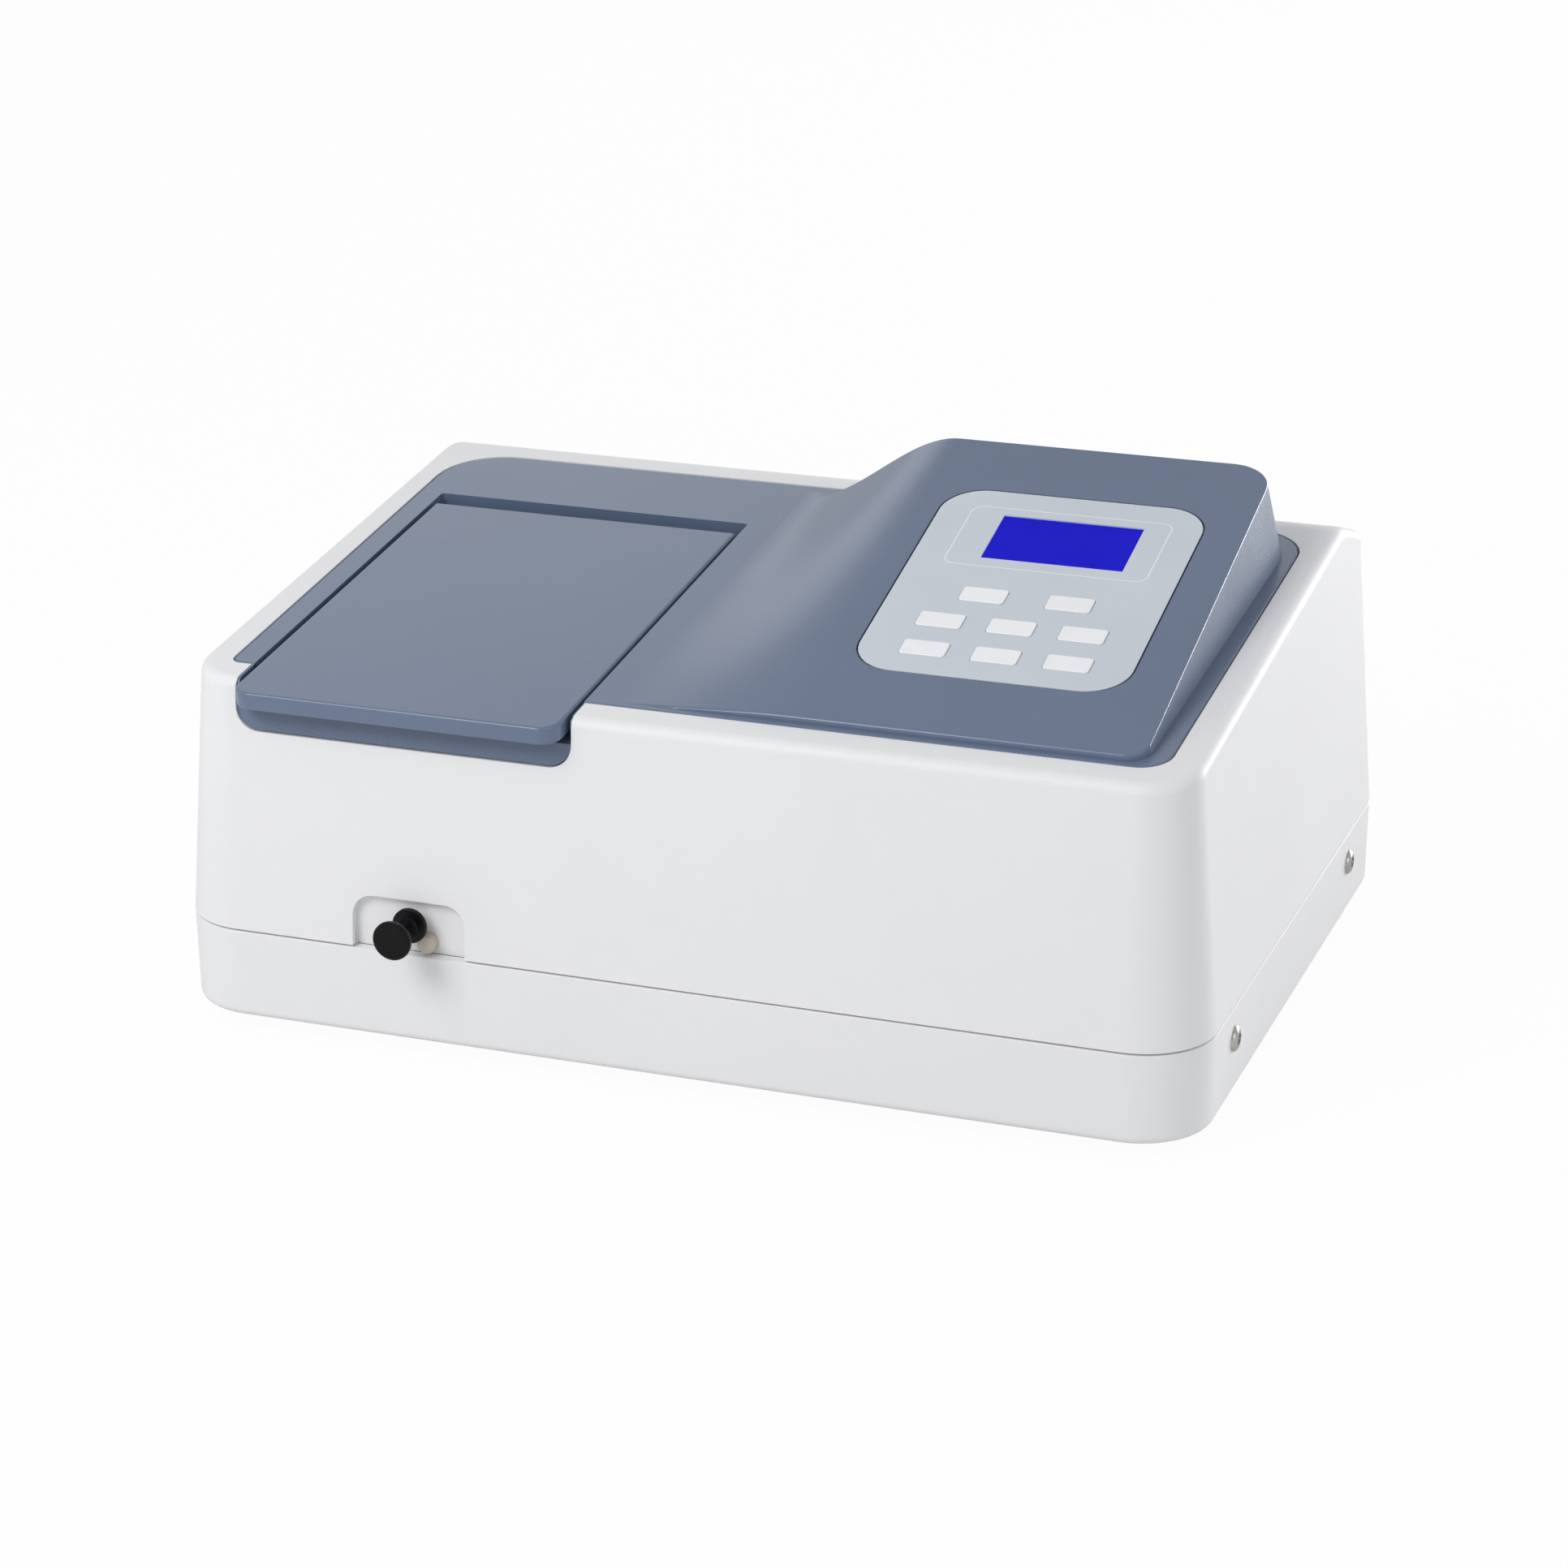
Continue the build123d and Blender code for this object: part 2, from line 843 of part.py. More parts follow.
with BuildPart() as apron:
    # Floor that runs out over the front wall and turns down as the apron under the lid's lip
    edge_height = notch_height + notch_gap / 2
    edge_y = wall_y(edge_height) + apron_recess
    nose_height = tub_floor_height(top_front_y, recess_depth)
    nose_y = wall_y(nose_height) + apron_recess
    apron_back = cover_front + cover_wall
    with BuildSketch(side_plane(recess_left - notch_gap / 2)):
        with BuildLine():
            Polyline(
                (apron_back, tub_floor_height(apron_back, recess_depth)),
                (nose_y, nose_height),
                (edge_y, edge_height),
                (edge_y + cover_wall, edge_height),
                (nose_y + cover_wall, nose_height - cover_wall),
                (apron_back, tub_floor_height(apron_back, tub_floor)),
                close=True,
            )
        make_face()
    extrude(amount=recess_right - recess_left + notch_gap)
    with BuildSketch(front_plane(cover_front + 2 * seat_ledge)) as apron_view:
        with Locations(((recess_left + recess_right) / 2, edge_height)):
            Rectangle(
                recess_right - recess_left + notch_gap,
                case_corner,
                align=(Align.CENTER, Align.MIN),
            )
        fillet(apron_view.vertices().group_by(Axis.Y)[0], notch_corner - notch_gap / 2)
    extrude(amount=case_depth / 2, mode=Mode.INTERSECT)

with BuildPart() as top_cover:
    with BuildSketch(top):
        add(cover_outline(0))
    extrude(amount=-cover_wall)
    fillet(top_cover.faces().sort_by(Axis.Z)[-1].edges(), cover_edge)
    with BuildSketch(top):
        with Locations(((recess_left + recess_right) / 2, cover_front * along)):
            Rectangle(
                recess_right - recess_left + 2 * cover_wall,
                (recess_back + cover_wall - cover_front) * along,
                align=(Align.CENTER, Align.MIN),
            )
    extrude(amount=-tub_floor)
    add(console_block(0, 0, cover_wall / 2))
    with BuildSketch(top.offset(console_reach)):
        with Locations(((recess_left + recess_right) / 2, recess_back * along)):
            Rectangle(recess_right - recess_left, case_depth, align=(Align.CENTER, Align.MAX))
    extrude(amount=-console_reach - recess_depth, mode=Mode.SUBTRACT)
    add(console_block(cover_wall, cover_wall, 3 * cover_wall), mode=Mode.SUBTRACT)
    add(apron.part)
    # Mouth of the sample compartment
    with BuildSketch(base.offset(tray_height)):
        with Locations(well_middle):
            RectangleRounded(well_width - 2 * well_wall, well_length - 2 * well_wall, cover_wall)
    extrude(amount=front_height, mode=Mode.SUBTRACT)
    # Hinge ears either side of each lug
    for x in hinge_places:
        for side in (-1, 1):
            with BuildSketch(side_plane(x + side * (lug_width / 2 + moving_gap))):
                with Locations((hinge_y, hinge_z)):
                    Circle(hinge_ring_radius)
                    Rectangle(
                        2 * hinge_ring_radius,
                        (recess_depth - hinge_depth) * along + hinge_root,
                        align=(Align.CENTER, Align.MAX),
                    )
            extrude(amount=side * ear_width)
    with BuildSketch(side_plane(recess_left + hinge_root)):
        with Locations((hinge_y, hinge_z)):
            Circle(hinge_pin_radius + running_gap)
    extrude(amount=recess_right - recess_left - 2 * hinge_root, mode=Mode.SUBTRACT)
    # Seat of the panel plate, opening of the display, key holes and posts for the keypad board
    with BuildSketch(console):
        with Locations(panel_middle):
            RectangleRounded(
                panel_width + 2 * panel_gap, panel_length + 2 * panel_gap, panel_corner + panel_gap
            )
    extrude(amount=-panel_recess, mode=Mode.SUBTRACT)
    with BuildSketch(console):
        with Locations((display_x, display_y)):
            Rectangle(display_width + 2 * window_lap, display_length + 2 * window_lap)
        with Locations(*key_places):
            RectangleRounded(
                key_width + 2 * moving_gap, key_length + 2 * moving_gap, key_corner + moving_gap
            )
    extrude(amount=-2 * cover_wall, mode=Mode.SUBTRACT)
    with BuildSketch(console.offset(-board_depth)):
        with Locations(key_board_middle):
            with GridLocations(*board_posts, 2, 2):
                Circle(post_radius)
    extrude(amount=board_depth - cover_wall / 2)
    with BuildSketch(console.offset(-module_depth)):
        with Locations((display_x, display_y)):
            with GridLocations(*module_posts, 2, 2):
                Circle(post_radius)
    extrude(amount=module_depth - cover_wall / 2)
top_cover.part.label = "top_cover"
export_step(top_cover.part, "parts/top_cover.step")

# Lid: shallow skirted plate with a deep lip at the front, a light rib and two hinge lugs
lid_front = case_front - lid_overhang
lid_middle = ((lid_left + lid_right) / 2, (lid_front + lid_back) / 2 * along)
lid_size = (lid_right - lid_left, (lid_back - lid_front) * along)
seal_front = well_front - seal_width / 2
with BuildPart() as lid:
    with BuildSketch(top) as lid_plan:
        with Locations(lid_middle):
            Rectangle(*lid_size)
        ends = lid_plan.vertices().sort_by(Axis.Y)
        fillet(ends[:2], lid_corner)
        fillet(ends[2:], sharpest_corner)
    extrude(amount=-lid_lip)
    fillet(lid.faces().sort_by(Axis.Z)[-1].edges(), lid_edge)
    with BuildSketch(top.offset(-lid_wall)):
        with Locations(lid_middle):
            RectangleRounded(
                lid_size[0] - 2 * lid_skirt, lid_size[1] - 2 * lid_skirt, lid_corner - lid_skirt
            )
        with Locations((lid_middle[0], seal_front * along)):
            Rectangle(lid_size[0], seal_width, mode=Mode.SUBTRACT)
    extrude(amount=-lid_lip, mode=Mode.SUBTRACT)
    for x in hinge_places:
        with BuildSketch(side_plane(x - lug_width / 2)):
            with Locations((hinge_y, hinge_z)):
                Circle(hinge_ring_radius)
                Rectangle(
                    hinge_back + lid_skirt,
                    2 * hinge_ring_radius,
                    align=(Align.MAX, Align.CENTER),
                )
                Circle(hinge_pin_radius + running_gap, mode=Mode.SUBTRACT)
        extrude(amount=lug_width)
lid.part.label = "lid"
export_step(lid.part, "parts/lid.step")

with BuildPart() as hinge_pins:
    for x in hinge_places:
        pin_length = lug_width + 2 * ear_width + 2 * moving_gap
        with BuildSketch(side_plane(x - pin_length / 2)):
            with Locations((hinge_y, hinge_z)):
                Circle(hinge_pin_radius)
        extrude(amount=pin_length)
hinge_pins.part.label = "hinge_pins"
export_step(hinge_pins.part, "parts/hinge_pins.step")

# Foam seal round the compartment's mouth
well_mouth = (
    well_width - 2 * well_wall + 2 * seal_gap,
    well_length - 2 * well_wall + 2 * seal_gap,
)
with BuildPart() as lid_seal:
    with BuildSketch(top.offset(-recess_depth)):
        with Locations((well_middle[0], well_middle[1] * along)):
            RectangleRounded(
                well_mouth[0] + 2 * seal_width,
                well_mouth[1] * along + 2 * seal_width,
                cover_wall + seal_width,
            )
            RectangleRounded(
                well_mouth[0],
                well_mouth[1] * along,
                cover_wall,
                mode=Mode.SUBTRACT,
            )
    extrude(amount=recess_depth - lid_lip - moving_gap)
lid_seal.part.label = "lid_seal"
export_step(lid_seal.part, "parts/lid_seal.step")

# Panel plate with the display's opening and the key holes
panel_face = -(panel_recess - panel_thickness)
with BuildPart() as control_panel:
    with BuildSketch(console.offset(-panel_recess)):
        with Locations(panel_middle):
            RectangleRounded(panel_width, panel_length, panel_corner)
        with Locations((display_x, display_y)):
            Rectangle(display_width, display_length, mode=Mode.SUBTRACT)
        with Locations(*key_places):
            RectangleRounded(
                key_width + 2 * moving_gap,
                key_length + 2 * moving_gap,
                key_corner + moving_gap,
                mode=Mode.SUBTRACT,
            )
    extrude(amount=panel_thickness)
control_panel.part.label = "control_panel"
export_step(control_panel.part, "parts/control_panel.step")

# Clear window: a step that fills the plate's opening, on a wider sheet behind the plate
with BuildPart() as display_window:
    with BuildSketch(console.offset(-panel_recess)):
        with Locations((display_x, display_y)):
            Rectangle(display_width - 2 * fitting_gap, display_length - 2 * fitting_gap)
    extrude(amount=panel_thickness - fitting_gap)
    with BuildSketch(console.offset(-panel_recess)):
        with Locations((display_x, display_y)):
            Rectangle(
                display_width + 2 * (window_lap - 2 * fitting_gap),
                display_length + 2 * (window_lap - 2 * fitting_gap),
            )
    extrude(amount=-window_thickness)
display_window.part.label = "display_window"
export_step(display_window.part, "parts/display_window.step")

# Display module: framed glass on its board, on four posts
glass_top = panel_recess + window_thickness
with BuildPart() as display_module:
    with BuildSketch(console.offset(-module_depth)):
        with Locations((display_x, display_y)):
            RectangleRounded(
                module_posts[0] + 3 * post_radius, module_posts[1] + 3 * post_radius, small_round
            )
            with GridLocations(*module_posts, 2, 2):
                Circle(screw_radius / 2, mode=Mode.SUBTRACT)
    extrude(amount=-board_sheet)
    with BuildSketch(console.offset(-module_depth)):
        with Locations((display_x, display_y)):
            Rectangle(display_width + window_lap, display_length + window_lap)
    extrude(amount=module_depth - glass_top)
    with BuildSketch(console.offset(-module_depth - board_sheet)):
        with Locations((display_x, display_y)):
            Rectangle(0.8 * display_width, 0.6 * display_length)
    extrude(amount=board_sheet - module_thickness)
display_module.part.label = "display_module"
export_step(display_module.part, "parts/display_module.step")

# Keypad board with a push switch under each key
with BuildPart() as keypad_board:
    with BuildSketch(console.offset(-board_depth)):
        with Locations(key_board_middle):
            RectangleRounded(key_board_width, key_board_length, small_round)
            with GridLocations(*board_posts, 2, 2):
                Circle(screw_radius / 2, mode=Mode.SUBTRACT)
    extrude(amount=-board_sheet)
    with BuildSketch(console.offset(-board_depth)):
        with Locations(*key_places):
            Rectangle(3 * switch_radius, 3 * switch_radius)
    extrude(amount=switch_height / 2)
    with BuildSketch(console.offset(-board_depth)):
        with Locations(*key_places):
            Circle(switch_radius)
    extrude(amount=switch_height)
keypad_board.part.label = "keypad_board"
export_step(keypad_board.part, "parts/keypad_board.step")

# Eight keys: cap with eased edges, a flange that keeps it in the cover, and a plunger
for number, place in enumerate(key_places, start=1):
    with BuildPart() as key:
        with BuildSketch(console.offset(-cover_wall - moving_gap)):
            with Locations(place):
                RectangleRounded(key_width, key_length, key_corner)
        extrude(amount=cover_wall + moving_gap + panel_face + key_proud)
        fillet(key.faces().sort_by(Axis.Z)[-1].edges(), key_edge)
        with BuildSketch(console.offset(-cover_wall - moving_gap)):
            with Locations(place):
                RectangleRounded(key_width + 2 * key_flange, key_length + 2 * key_flange, key_corner)
        extrude(amount=-flange_thickness)
        with BuildSketch(console.offset(-cover_wall - moving_gap - flange_thickness)):
            with Locations(place):
                Circle(0.6 * switch_radius)
        extrude(amount=-plunger_length)
    key.part.label = f"key_{number}"
    export_step(key.part, f"parts/key_{number}.step")

# Sample compartment: open box on the optical bench, its rim under the cover's floor
bench_top = tray_floor + bench_lift + bench_thickness
carriage_length = (cell_count - 1) * cell_pitch + cell_slot + 2 * carriage_wall
carriage_back = well_front + well_length - carriage_from_back
carriage_front = carriage_back - carriage_length
slot_ys = [carriage_front + carriage_wall + cell_slot / 2 + n * cell_pitch for n in range(cell_count)]
beam_y = slot_ys[0]
with BuildPart() as sample_well:
    with BuildSketch(base.offset(bench_top)):
        with Locations(well_middle):
            RectangleRounded(well_width, well_length, cover_wall + well_wall)
    extrude(amount=front_height)
    with BuildSketch(base.offset(bench_top + cover_wall)):
        with Locations(well_middle):
            RectangleRounded(well_width - 2 * well_wall, well_length - 2 * well_wall, cover_wall)
    extrude(amount=front_height, mode=Mode.SUBTRACT)
    split(bisect_by=top.offset(-tub_floor), keep=Keep.BOTTOM)
    with BuildSketch(side_plane(well_left - well_wall)):
        with Locations((beam_y, beam_height)):
            Circle(beam_radius)
    extrude(amount=well_width + 2 * well_wall, mode=Mode.SUBTRACT)
    with BuildSketch(front_plane(well_front + 2 * well_wall)):
        with Locations((rod_x, rod_height)):
            Circle(bush_radius + running_gap)
    extrude(amount=3 * well_wall, mode=Mode.SUBTRACT)
sample_well.part.label = "sample_well"
export_step(sample_well.part, "parts/sample_well.step")

# Carriage for square cells: slotted block with light windows on a base that slides on two rails
rail_xs = (rod_x - rail_spacing / 2, rod_x + rail_spacing / 2)
with BuildPart() as cell_carriage:
    base_low = rail_height - carriage_base / 2
    with BuildSketch(base.offset(base_low)):
        with Locations((rod_x, (carriage_front + carriage_back) / 2)):
            RectangleRounded(carriage_width, carriage_length, carriage_corner)
    extrude(amount=carriage_base)
    with BuildSketch(base.offset(rail_height)):
        with Locations((rod_x, (carriage_front + carriage_back) / 2)):
            RectangleRounded(carriage_block, carriage_length, small_round)
    extrude(amount=carriage_top - rail_height)
    with BuildSketch(base.offset(slot_floor)):
        with Locations(*[(rod_x, y) for y in slot_ys]):
            Rectangle(cell_slot, cell_slot)
    extrude(amount=carriage_top, mode=Mode.SUBTRACT)
    with BuildSketch(side_plane(rod_x - carriage_block)):
        with Locations(*[(y, beam_height) for y in slot_ys]):
            SlotCenterToCenter(beam_window, beam_window_width, rotation=90)
    extrude(amount=2 * carriage_block, mode=Mode.SUBTRACT)
    with BuildSketch(front_plane(carriage_back + rail_radius)):
        with Locations(*[(x, rail_height) for x in rail_xs]):
            Circle(rail_radius + running_gap)
    extrude(amount=carriage_length + 2 * rail_radius, mode=Mode.SUBTRACT)
    with BuildSketch(front_plane(carriage_front + rod_grip)):
        with Locations((rod_x, rod_height)):
            Circle(rod_radius + running_gap)
    extrude(amount=2 * rod_grip, mode=Mode.SUBTRACT)
cell_carriage.part.label = "cell_carriage"
export_step(cell_carriage.part, "parts/cell_carriage.step")

with BuildPart() as carriage_rails:
    with BuildSketch(front_plane(well_front + well_length - well_wall)):
        with Locations(*[(x, rail_height) for x in rail_xs]):
            Circle(rail_radius)
    extrude(amount=well_length - 2 * well_wall)
carriage_rails.part.label = "carriage_rails"
export_step(carriage_rails.part, "parts/carriage_rails.step")

# Pull rod with a groove for each cell position
knob_back = knob_front + knob_length
with BuildPart() as pull_rod:
    with BuildSketch(front_plane(carriage_front + rod_grip)):
        with Locations((rod_x, rod_height)):
            Circle(rod_radius)
    extrude(amount=carriage_front + rod_grip - (knob_back - knob_bore))
    for n in range(cell_count):
        with BuildSketch(front_plane(well_front + well_length / 12 + n * cell_pitch)):
            with Locations((rod_x, rod_height)):
                Circle(2 * rod_radius)
                Circle(rod_radius - groove_depth, mode=Mode.SUBTRACT)
        extrude(amount=groove_width, mode=Mode.SUBTRACT)
pull_rod.part.label = "pull_rod"
export_step(pull_rod.part, "parts/pull_rod.step")

# Spool knob turned about the rod's axis: a broad front, a waist and a smaller collar
knob_bottom = knob_back - knob_bore
collar_front = knob_back - 5 * knob_round
bore_radius = rod_height + rod_radius + running_gap
neck_radius = rod_height + knob_waist_radius + knob_round
collar_radius = rod_height + knob_back_radius
with BuildPart() as pull_knob:
    with BuildSketch(side_plane(rod_x)):
        with BuildLine():
            Polyline(
                (knob_bottom, rod_height),
                (knob_front, rod_height),
                (knob_front + knob_round, rod_height + 0.92 * knob_front_radius),
            )
            Spline(
                (knob_front + knob_round, rod_height + 0.92 * knob_front_radius),
                (knob_front + 0.08 * knob_length, rod_height + knob_front_radius),
                (knob_front + 0.2 * knob_length, rod_height + 0.92 * knob_front_radius),
                (knob_front + 0.4 * knob_length, rod_height + 1.24 * knob_waist_radius),
                (knob_front + 0.6 * knob_length, rod_height + knob_waist_radius),
                (collar_front, neck_radius),
            )
            Polyline(
                (collar_front, neck_radius),
                (collar_front, collar_radius - knob_round),
                (collar_front + knob_round, collar_radius),
                (knob_back - knob_round, collar_radius),
                (knob_back, collar_radius - knob_round),
                (knob_back, bore_radius),
                (knob_bottom, bore_radius),
                (knob_bottom, rod_height),
            )
        make_face()
    revolve(axis=Axis((rod_x, mid_y, foot_height + rod_height), (0, 1, 0)))
pull_knob.part.label = "pull_knob"
export_step(pull_knob.part, "parts/pull_knob.step")

# Flanged bush that guides the rod through the compartment's wall
with BuildPart() as rod_bush:
    for radius, start, length in (
        (bush_radius, well_front + well_wall + bush_rim, well_wall + 2 * bush_rim),
        (bush_radius + bush_flange, well_front, bush_rim),
    ):
        with BuildSketch(front_plane(start)):
            with Locations((rod_x, rod_height)):
                Circle(radius)
        extrude(amount=length)
    with BuildSketch(front_plane(well_front + 3 * well_wall)):
        with Locations((rod_x, rod_height)):
            Circle(rod_radius + running_gap)
    extrude(amount=6 * well_wall, mode=Mode.SUBTRACT)
rod_bush.part.label = "rod_bush"
export_step(rod_bush.part, "parts/rod_bush.step")

# Round plug in the spare hole beside the rod
with BuildPart() as blanking_plug:
    with BuildSketch(front_plane(pocket_face)):
        with Locations((rod_x + plug_offset_x, plug_height)):
            Circle(plug_radius)
    extrude(amount=plug_reach)
    fillet(blanking_plug.faces().sort_by(Axis.Y)[0].edges(), plug_edge)
    with BuildSketch(front_plane(pocket_face)):
        with Locations((rod_x + plug_offset_x, plug_height)):
            Circle(plug_radius - plug_lip - running_gap)
    extrude(amount=-case_wall)
blanking_plug.part.label = "blanking_plug"
export_step(blanking_plug.part, "parts/blanking_plug.step")

# Optical bench: ribbed plate on the tray's bosses, with its four bolts
with BuildPart() as optical_bench:
    with BuildSketch(base.offset(tray_floor + bench_lift)):
        with Locations(bench_middle):
            RectangleRounded(bench_right - bench_left, bench_back - bench_front, bench_corner)
            with GridLocations(*bench_bosses, 2, 2):
                Circle(screw_radius + running_gap, mode=Mode.SUBTRACT)
    extrude(amount=bench_thickness)
optical_bench.part.label = "optical_bench"
export_step(optical_bench.part, "parts/optical_bench.step")

with BuildPart() as bench_bolts:
    with BuildSketch(base.offset(bench_top)):
        with Locations(bench_middle):
            with GridLocations(*bench_bosses, 2, 2):
                Circle(bolt_head_radius)
                RegularPolygon(screw_radius, 6, mode=Mode.SUBTRACT)
    extrude(amount=bolt_head_height)
    with BuildSketch(base.offset(bench_top + bolt_head_height / 2)):
        with Locations(bench_middle):
            with GridLocations(*bench_bosses, 2, 2):
                Circle(screw_radius)
    extrude(amount=-bench_thickness - bench_lift)
bench_bolts.part.label = "bench_bolts"
export_step(bench_bolts.part, "parts/bench_bolts.step")

# Detector: light-tight housing with a snout to the compartment's wall, and its board
detector_left = well_left - detector_from_well
with BuildPart() as detector_housing:
    with BuildSketch(base.offset(bench_top)):
        with Locations((detector_left + detector_depth / 2, beam_y)):
            RectangleRounded(detector_depth, detector_width, small_round)
    extrude(amount=detector_top - bench_top)
    with BuildSketch(side_plane(well_left)):
        with Locations((beam_y, beam_height)):
            Circle(snout_radius)
    extrude(amount=-detector_depth / 2)
    with BuildSketch(side_plane(well_left)):
        with Locations((beam_y, beam_height)):
            Circle(beam_radius)
    extrude(amount=-detector_depth, mode=Mode.SUBTRACT)
detector_housing.part.label = "detector_housing"
export_step(detector_housing.part, "parts/detector_housing.step")

with BuildPart() as detector_board:
    board_low = bench_top + mono_wall
    with BuildSketch(side_plane(detector_left)):
        with Locations((beam_y, (board_low + detector_top) / 2)):
            Rectangle(detector_width + 2 * small_round, detector_top - board_low - 2 * small_round)
    extrude(amount=-board_sheet)
    with BuildSketch(side_plane(detector_left - board_sheet)):
        with Locations((beam_y, beam_height)):
            Circle(snout_radius)
        with Locations((beam_y, board_low + detector_plug_lift)):
            Rectangle(detector_width / 2, detector_plug)
    extrude(amount=-2 * board_sheet)
detector_board.part.label = "detector_board"
export_step(detector_board.part, "parts/detector_board.step")

# Light tube from the monochromator to the compartment
mono_left = well_left + well_width + mono_from_well
with BuildPart() as beam_tube:
    with BuildSketch(side_plane(well_left + well_width)):
        with Locations((beam_y, beam_height)):
            Circle(1.1 * snout_radius)
            Circle(beam_radius, mode=Mode.SUBTRACT)
    extrude(amount=mono_left - well_left - well_width)
beam_tube.part.label = "beam_tube"
export_step(beam_tube.part, "parts/beam_tube.step")

# Monochromator: closed box with a light hole at each end of its path
mono_right = bench_right - mono_from_bench
mono_front = well_front
mono_back = mono_front + mono_length
entrance_x = mono_right - entrance_from_side
mono_middle = ((mono_left + mono_right) / 2, (mono_front + mono_back) / 2)
mono_floor = bench_top + mono_wall
with BuildPart() as monochromator_box:
    with BuildSketch(base.offset(bench_top)):
        with Locations(mono_middle):
            RectangleRounded(mono_right - mono_left, mono_back - mono_front, mono_wall)
    extrude(amount=mono_top - bench_top)
    with BuildSketch(base.offset(mono_floor)):
        with Locations(mono_middle):
            Rectangle(
                mono_right - mono_left - 2 * mono_wall, mono_back - mono_front - 2 * mono_wall
            )
    extrude(amount=mono_top, mode=Mode.SUBTRACT)
    with BuildSketch(side_plane(mono_left - mono_wall)):
        with Locations((beam_y, beam_height)):
            Circle(light_hole)
    extrude(amount=3 * mono_wall, mode=Mode.SUBTRACT)
    with BuildSketch(front_plane(mono_back + mono_wall)):
        with Locations((entrance_x, beam_height)):
            Circle(light_hole)
    extrude(amount=3 * mono_wall, mode=Mode.SUBTRACT)
monochromator_box.part.label = "monochromator_box"
export_step(monochromator_box.part, "parts/monochromator_box.step")

mono_screws = (
    mono_right - mono_left - 2 * mono_screw_inset,
    mono_back - mono_front - 2 * mono_screw_inset,
)
with BuildPart() as monochromator_cover:
    with BuildSketch(base.offset(mono_top)):
        with Locations(mono_middle):
            RectangleRounded(mono_right - mono_left, mono_back - mono_front, mono_wall)
    extrude(amount=mono_wall / 2)
    with BuildSketch(base.offset(mono_top + mono_wall / 2)):
        with Locations(mono_middle):
            with GridLocations(*mono_screws, 2, 2):
                Circle(bolt_head_radius)
    extrude(amount=mono_wall / 2)
monochromator_cover.part.label = "monochromator_cover"
export_step(monochromator_cover.part, "parts/monochromator_cover.step")

with BuildPart() as slits:
    with BuildSketch(side_plane(mono_left + mono_wall)):
        with Locations((beam_y, beam_height)):
            Rectangle(slit_plate, slit_plate)
            Rectangle(slit_gap, 2 * light_hole, mode=Mode.SUBTRACT)
    extrude(amount=mono_wall / 2)
    with BuildSketch(front_plane(mono_back - mono_wall)):
        with Locations((entrance_x, beam_height)):
            Rectangle(slit_plate, slit_plate)
            Rectangle(slit_gap, 2 * light_hole, mode=Mode.SUBTRACT)
    extrude(amount=mono_wall / 2)
slits.part.label = "slits"
export_step(slits.part, "parts/slits.step")

# Collimating and focusing mirrors, turned a little towards the grating
mono_width = mono_right - mono_left
mirror_xs = (mono_left + 0.39 * mono_width, mono_left + 0.8 * mono_width)
mirror_width = 0.26 * mono_width
with BuildPart() as mirrors:
    with BuildSketch(base.offset(mono_floor)):
        for x, turn in zip(mirror_xs, (-mirror_turn, mirror_turn)):
            with Locations(Location((x, mono_front + mono_wall + mirror_thickness), turn)):
                Rectangle(mirror_width, mirror_thickness)
    extrude(amount=mirror_height)
mirrors.part.label = "mirrors"
export_step(mirrors.part, "parts/mirrors.step")

# Grating drive and the grating on its table
grating_x = entrance_x - grating_aside
grating_y = mono_back - grating_from_back
motor_top = mono_floor + grating_motor_height
with BuildPart() as grating_motor:
    with BuildSketch(base.offset(mono_floor)):
        with Locations((grating_x, grating_y)):
            Circle(grating_motor_radius)
    extrude(amount=grating_motor_height)
    with BuildSketch(base.offset(motor_top)):
        with Locations((grating_x, grating_y)):
            Circle(shaft_radius)
    extrude(amount=shaft_length)
grating_motor.part.label = "grating_motor"
export_step(grating_motor.part, "parts/grating_motor.step")

with BuildPart() as grating:
    with BuildSketch(base.offset(motor_top + moving_gap)):
        with Locations((grating_x, grating_y)):
            Circle(grating_table)
            Circle(shaft_radius + running_gap, mode=Mode.SUBTRACT)
    extrude(amount=shaft_length)
    with BuildSketch(base.offset(motor_top + moving_gap + shaft_length)):
        with Locations((grating_x, grating_y)):
            Rectangle(grating_width, grating_thickness)
    extrude(amount=grating_height)
grating.part.label = "grating"
export_step(grating.part, "parts/grating.step")

# Filter wheel with its motor on a bracket
filter_x = entrance_x - filter_orbit
filter_y = mono_back + filter_from_mono
wheel_back = filter_y + filter_wheel_thickness / 2
motor_front = wheel_back + filter_motor_gap
with BuildPart() as filter_wheel:
    with BuildSketch(front_plane(wheel_back)):
        with Locations((filter_x, beam_height)):
            Circle(filter_wheel_radius)
            Circle(fan_shaft + running_gap, mode=Mode.SUBTRACT)
            with PolarLocations(filter_orbit, filter_count):
                Circle(filter_hole, mode=Mode.SUBTRACT)
    extrude(amount=filter_wheel_thickness)
filter_wheel.part.label = "filter_wheel"
export_step(filter_wheel.part, "parts/filter_wheel.step")

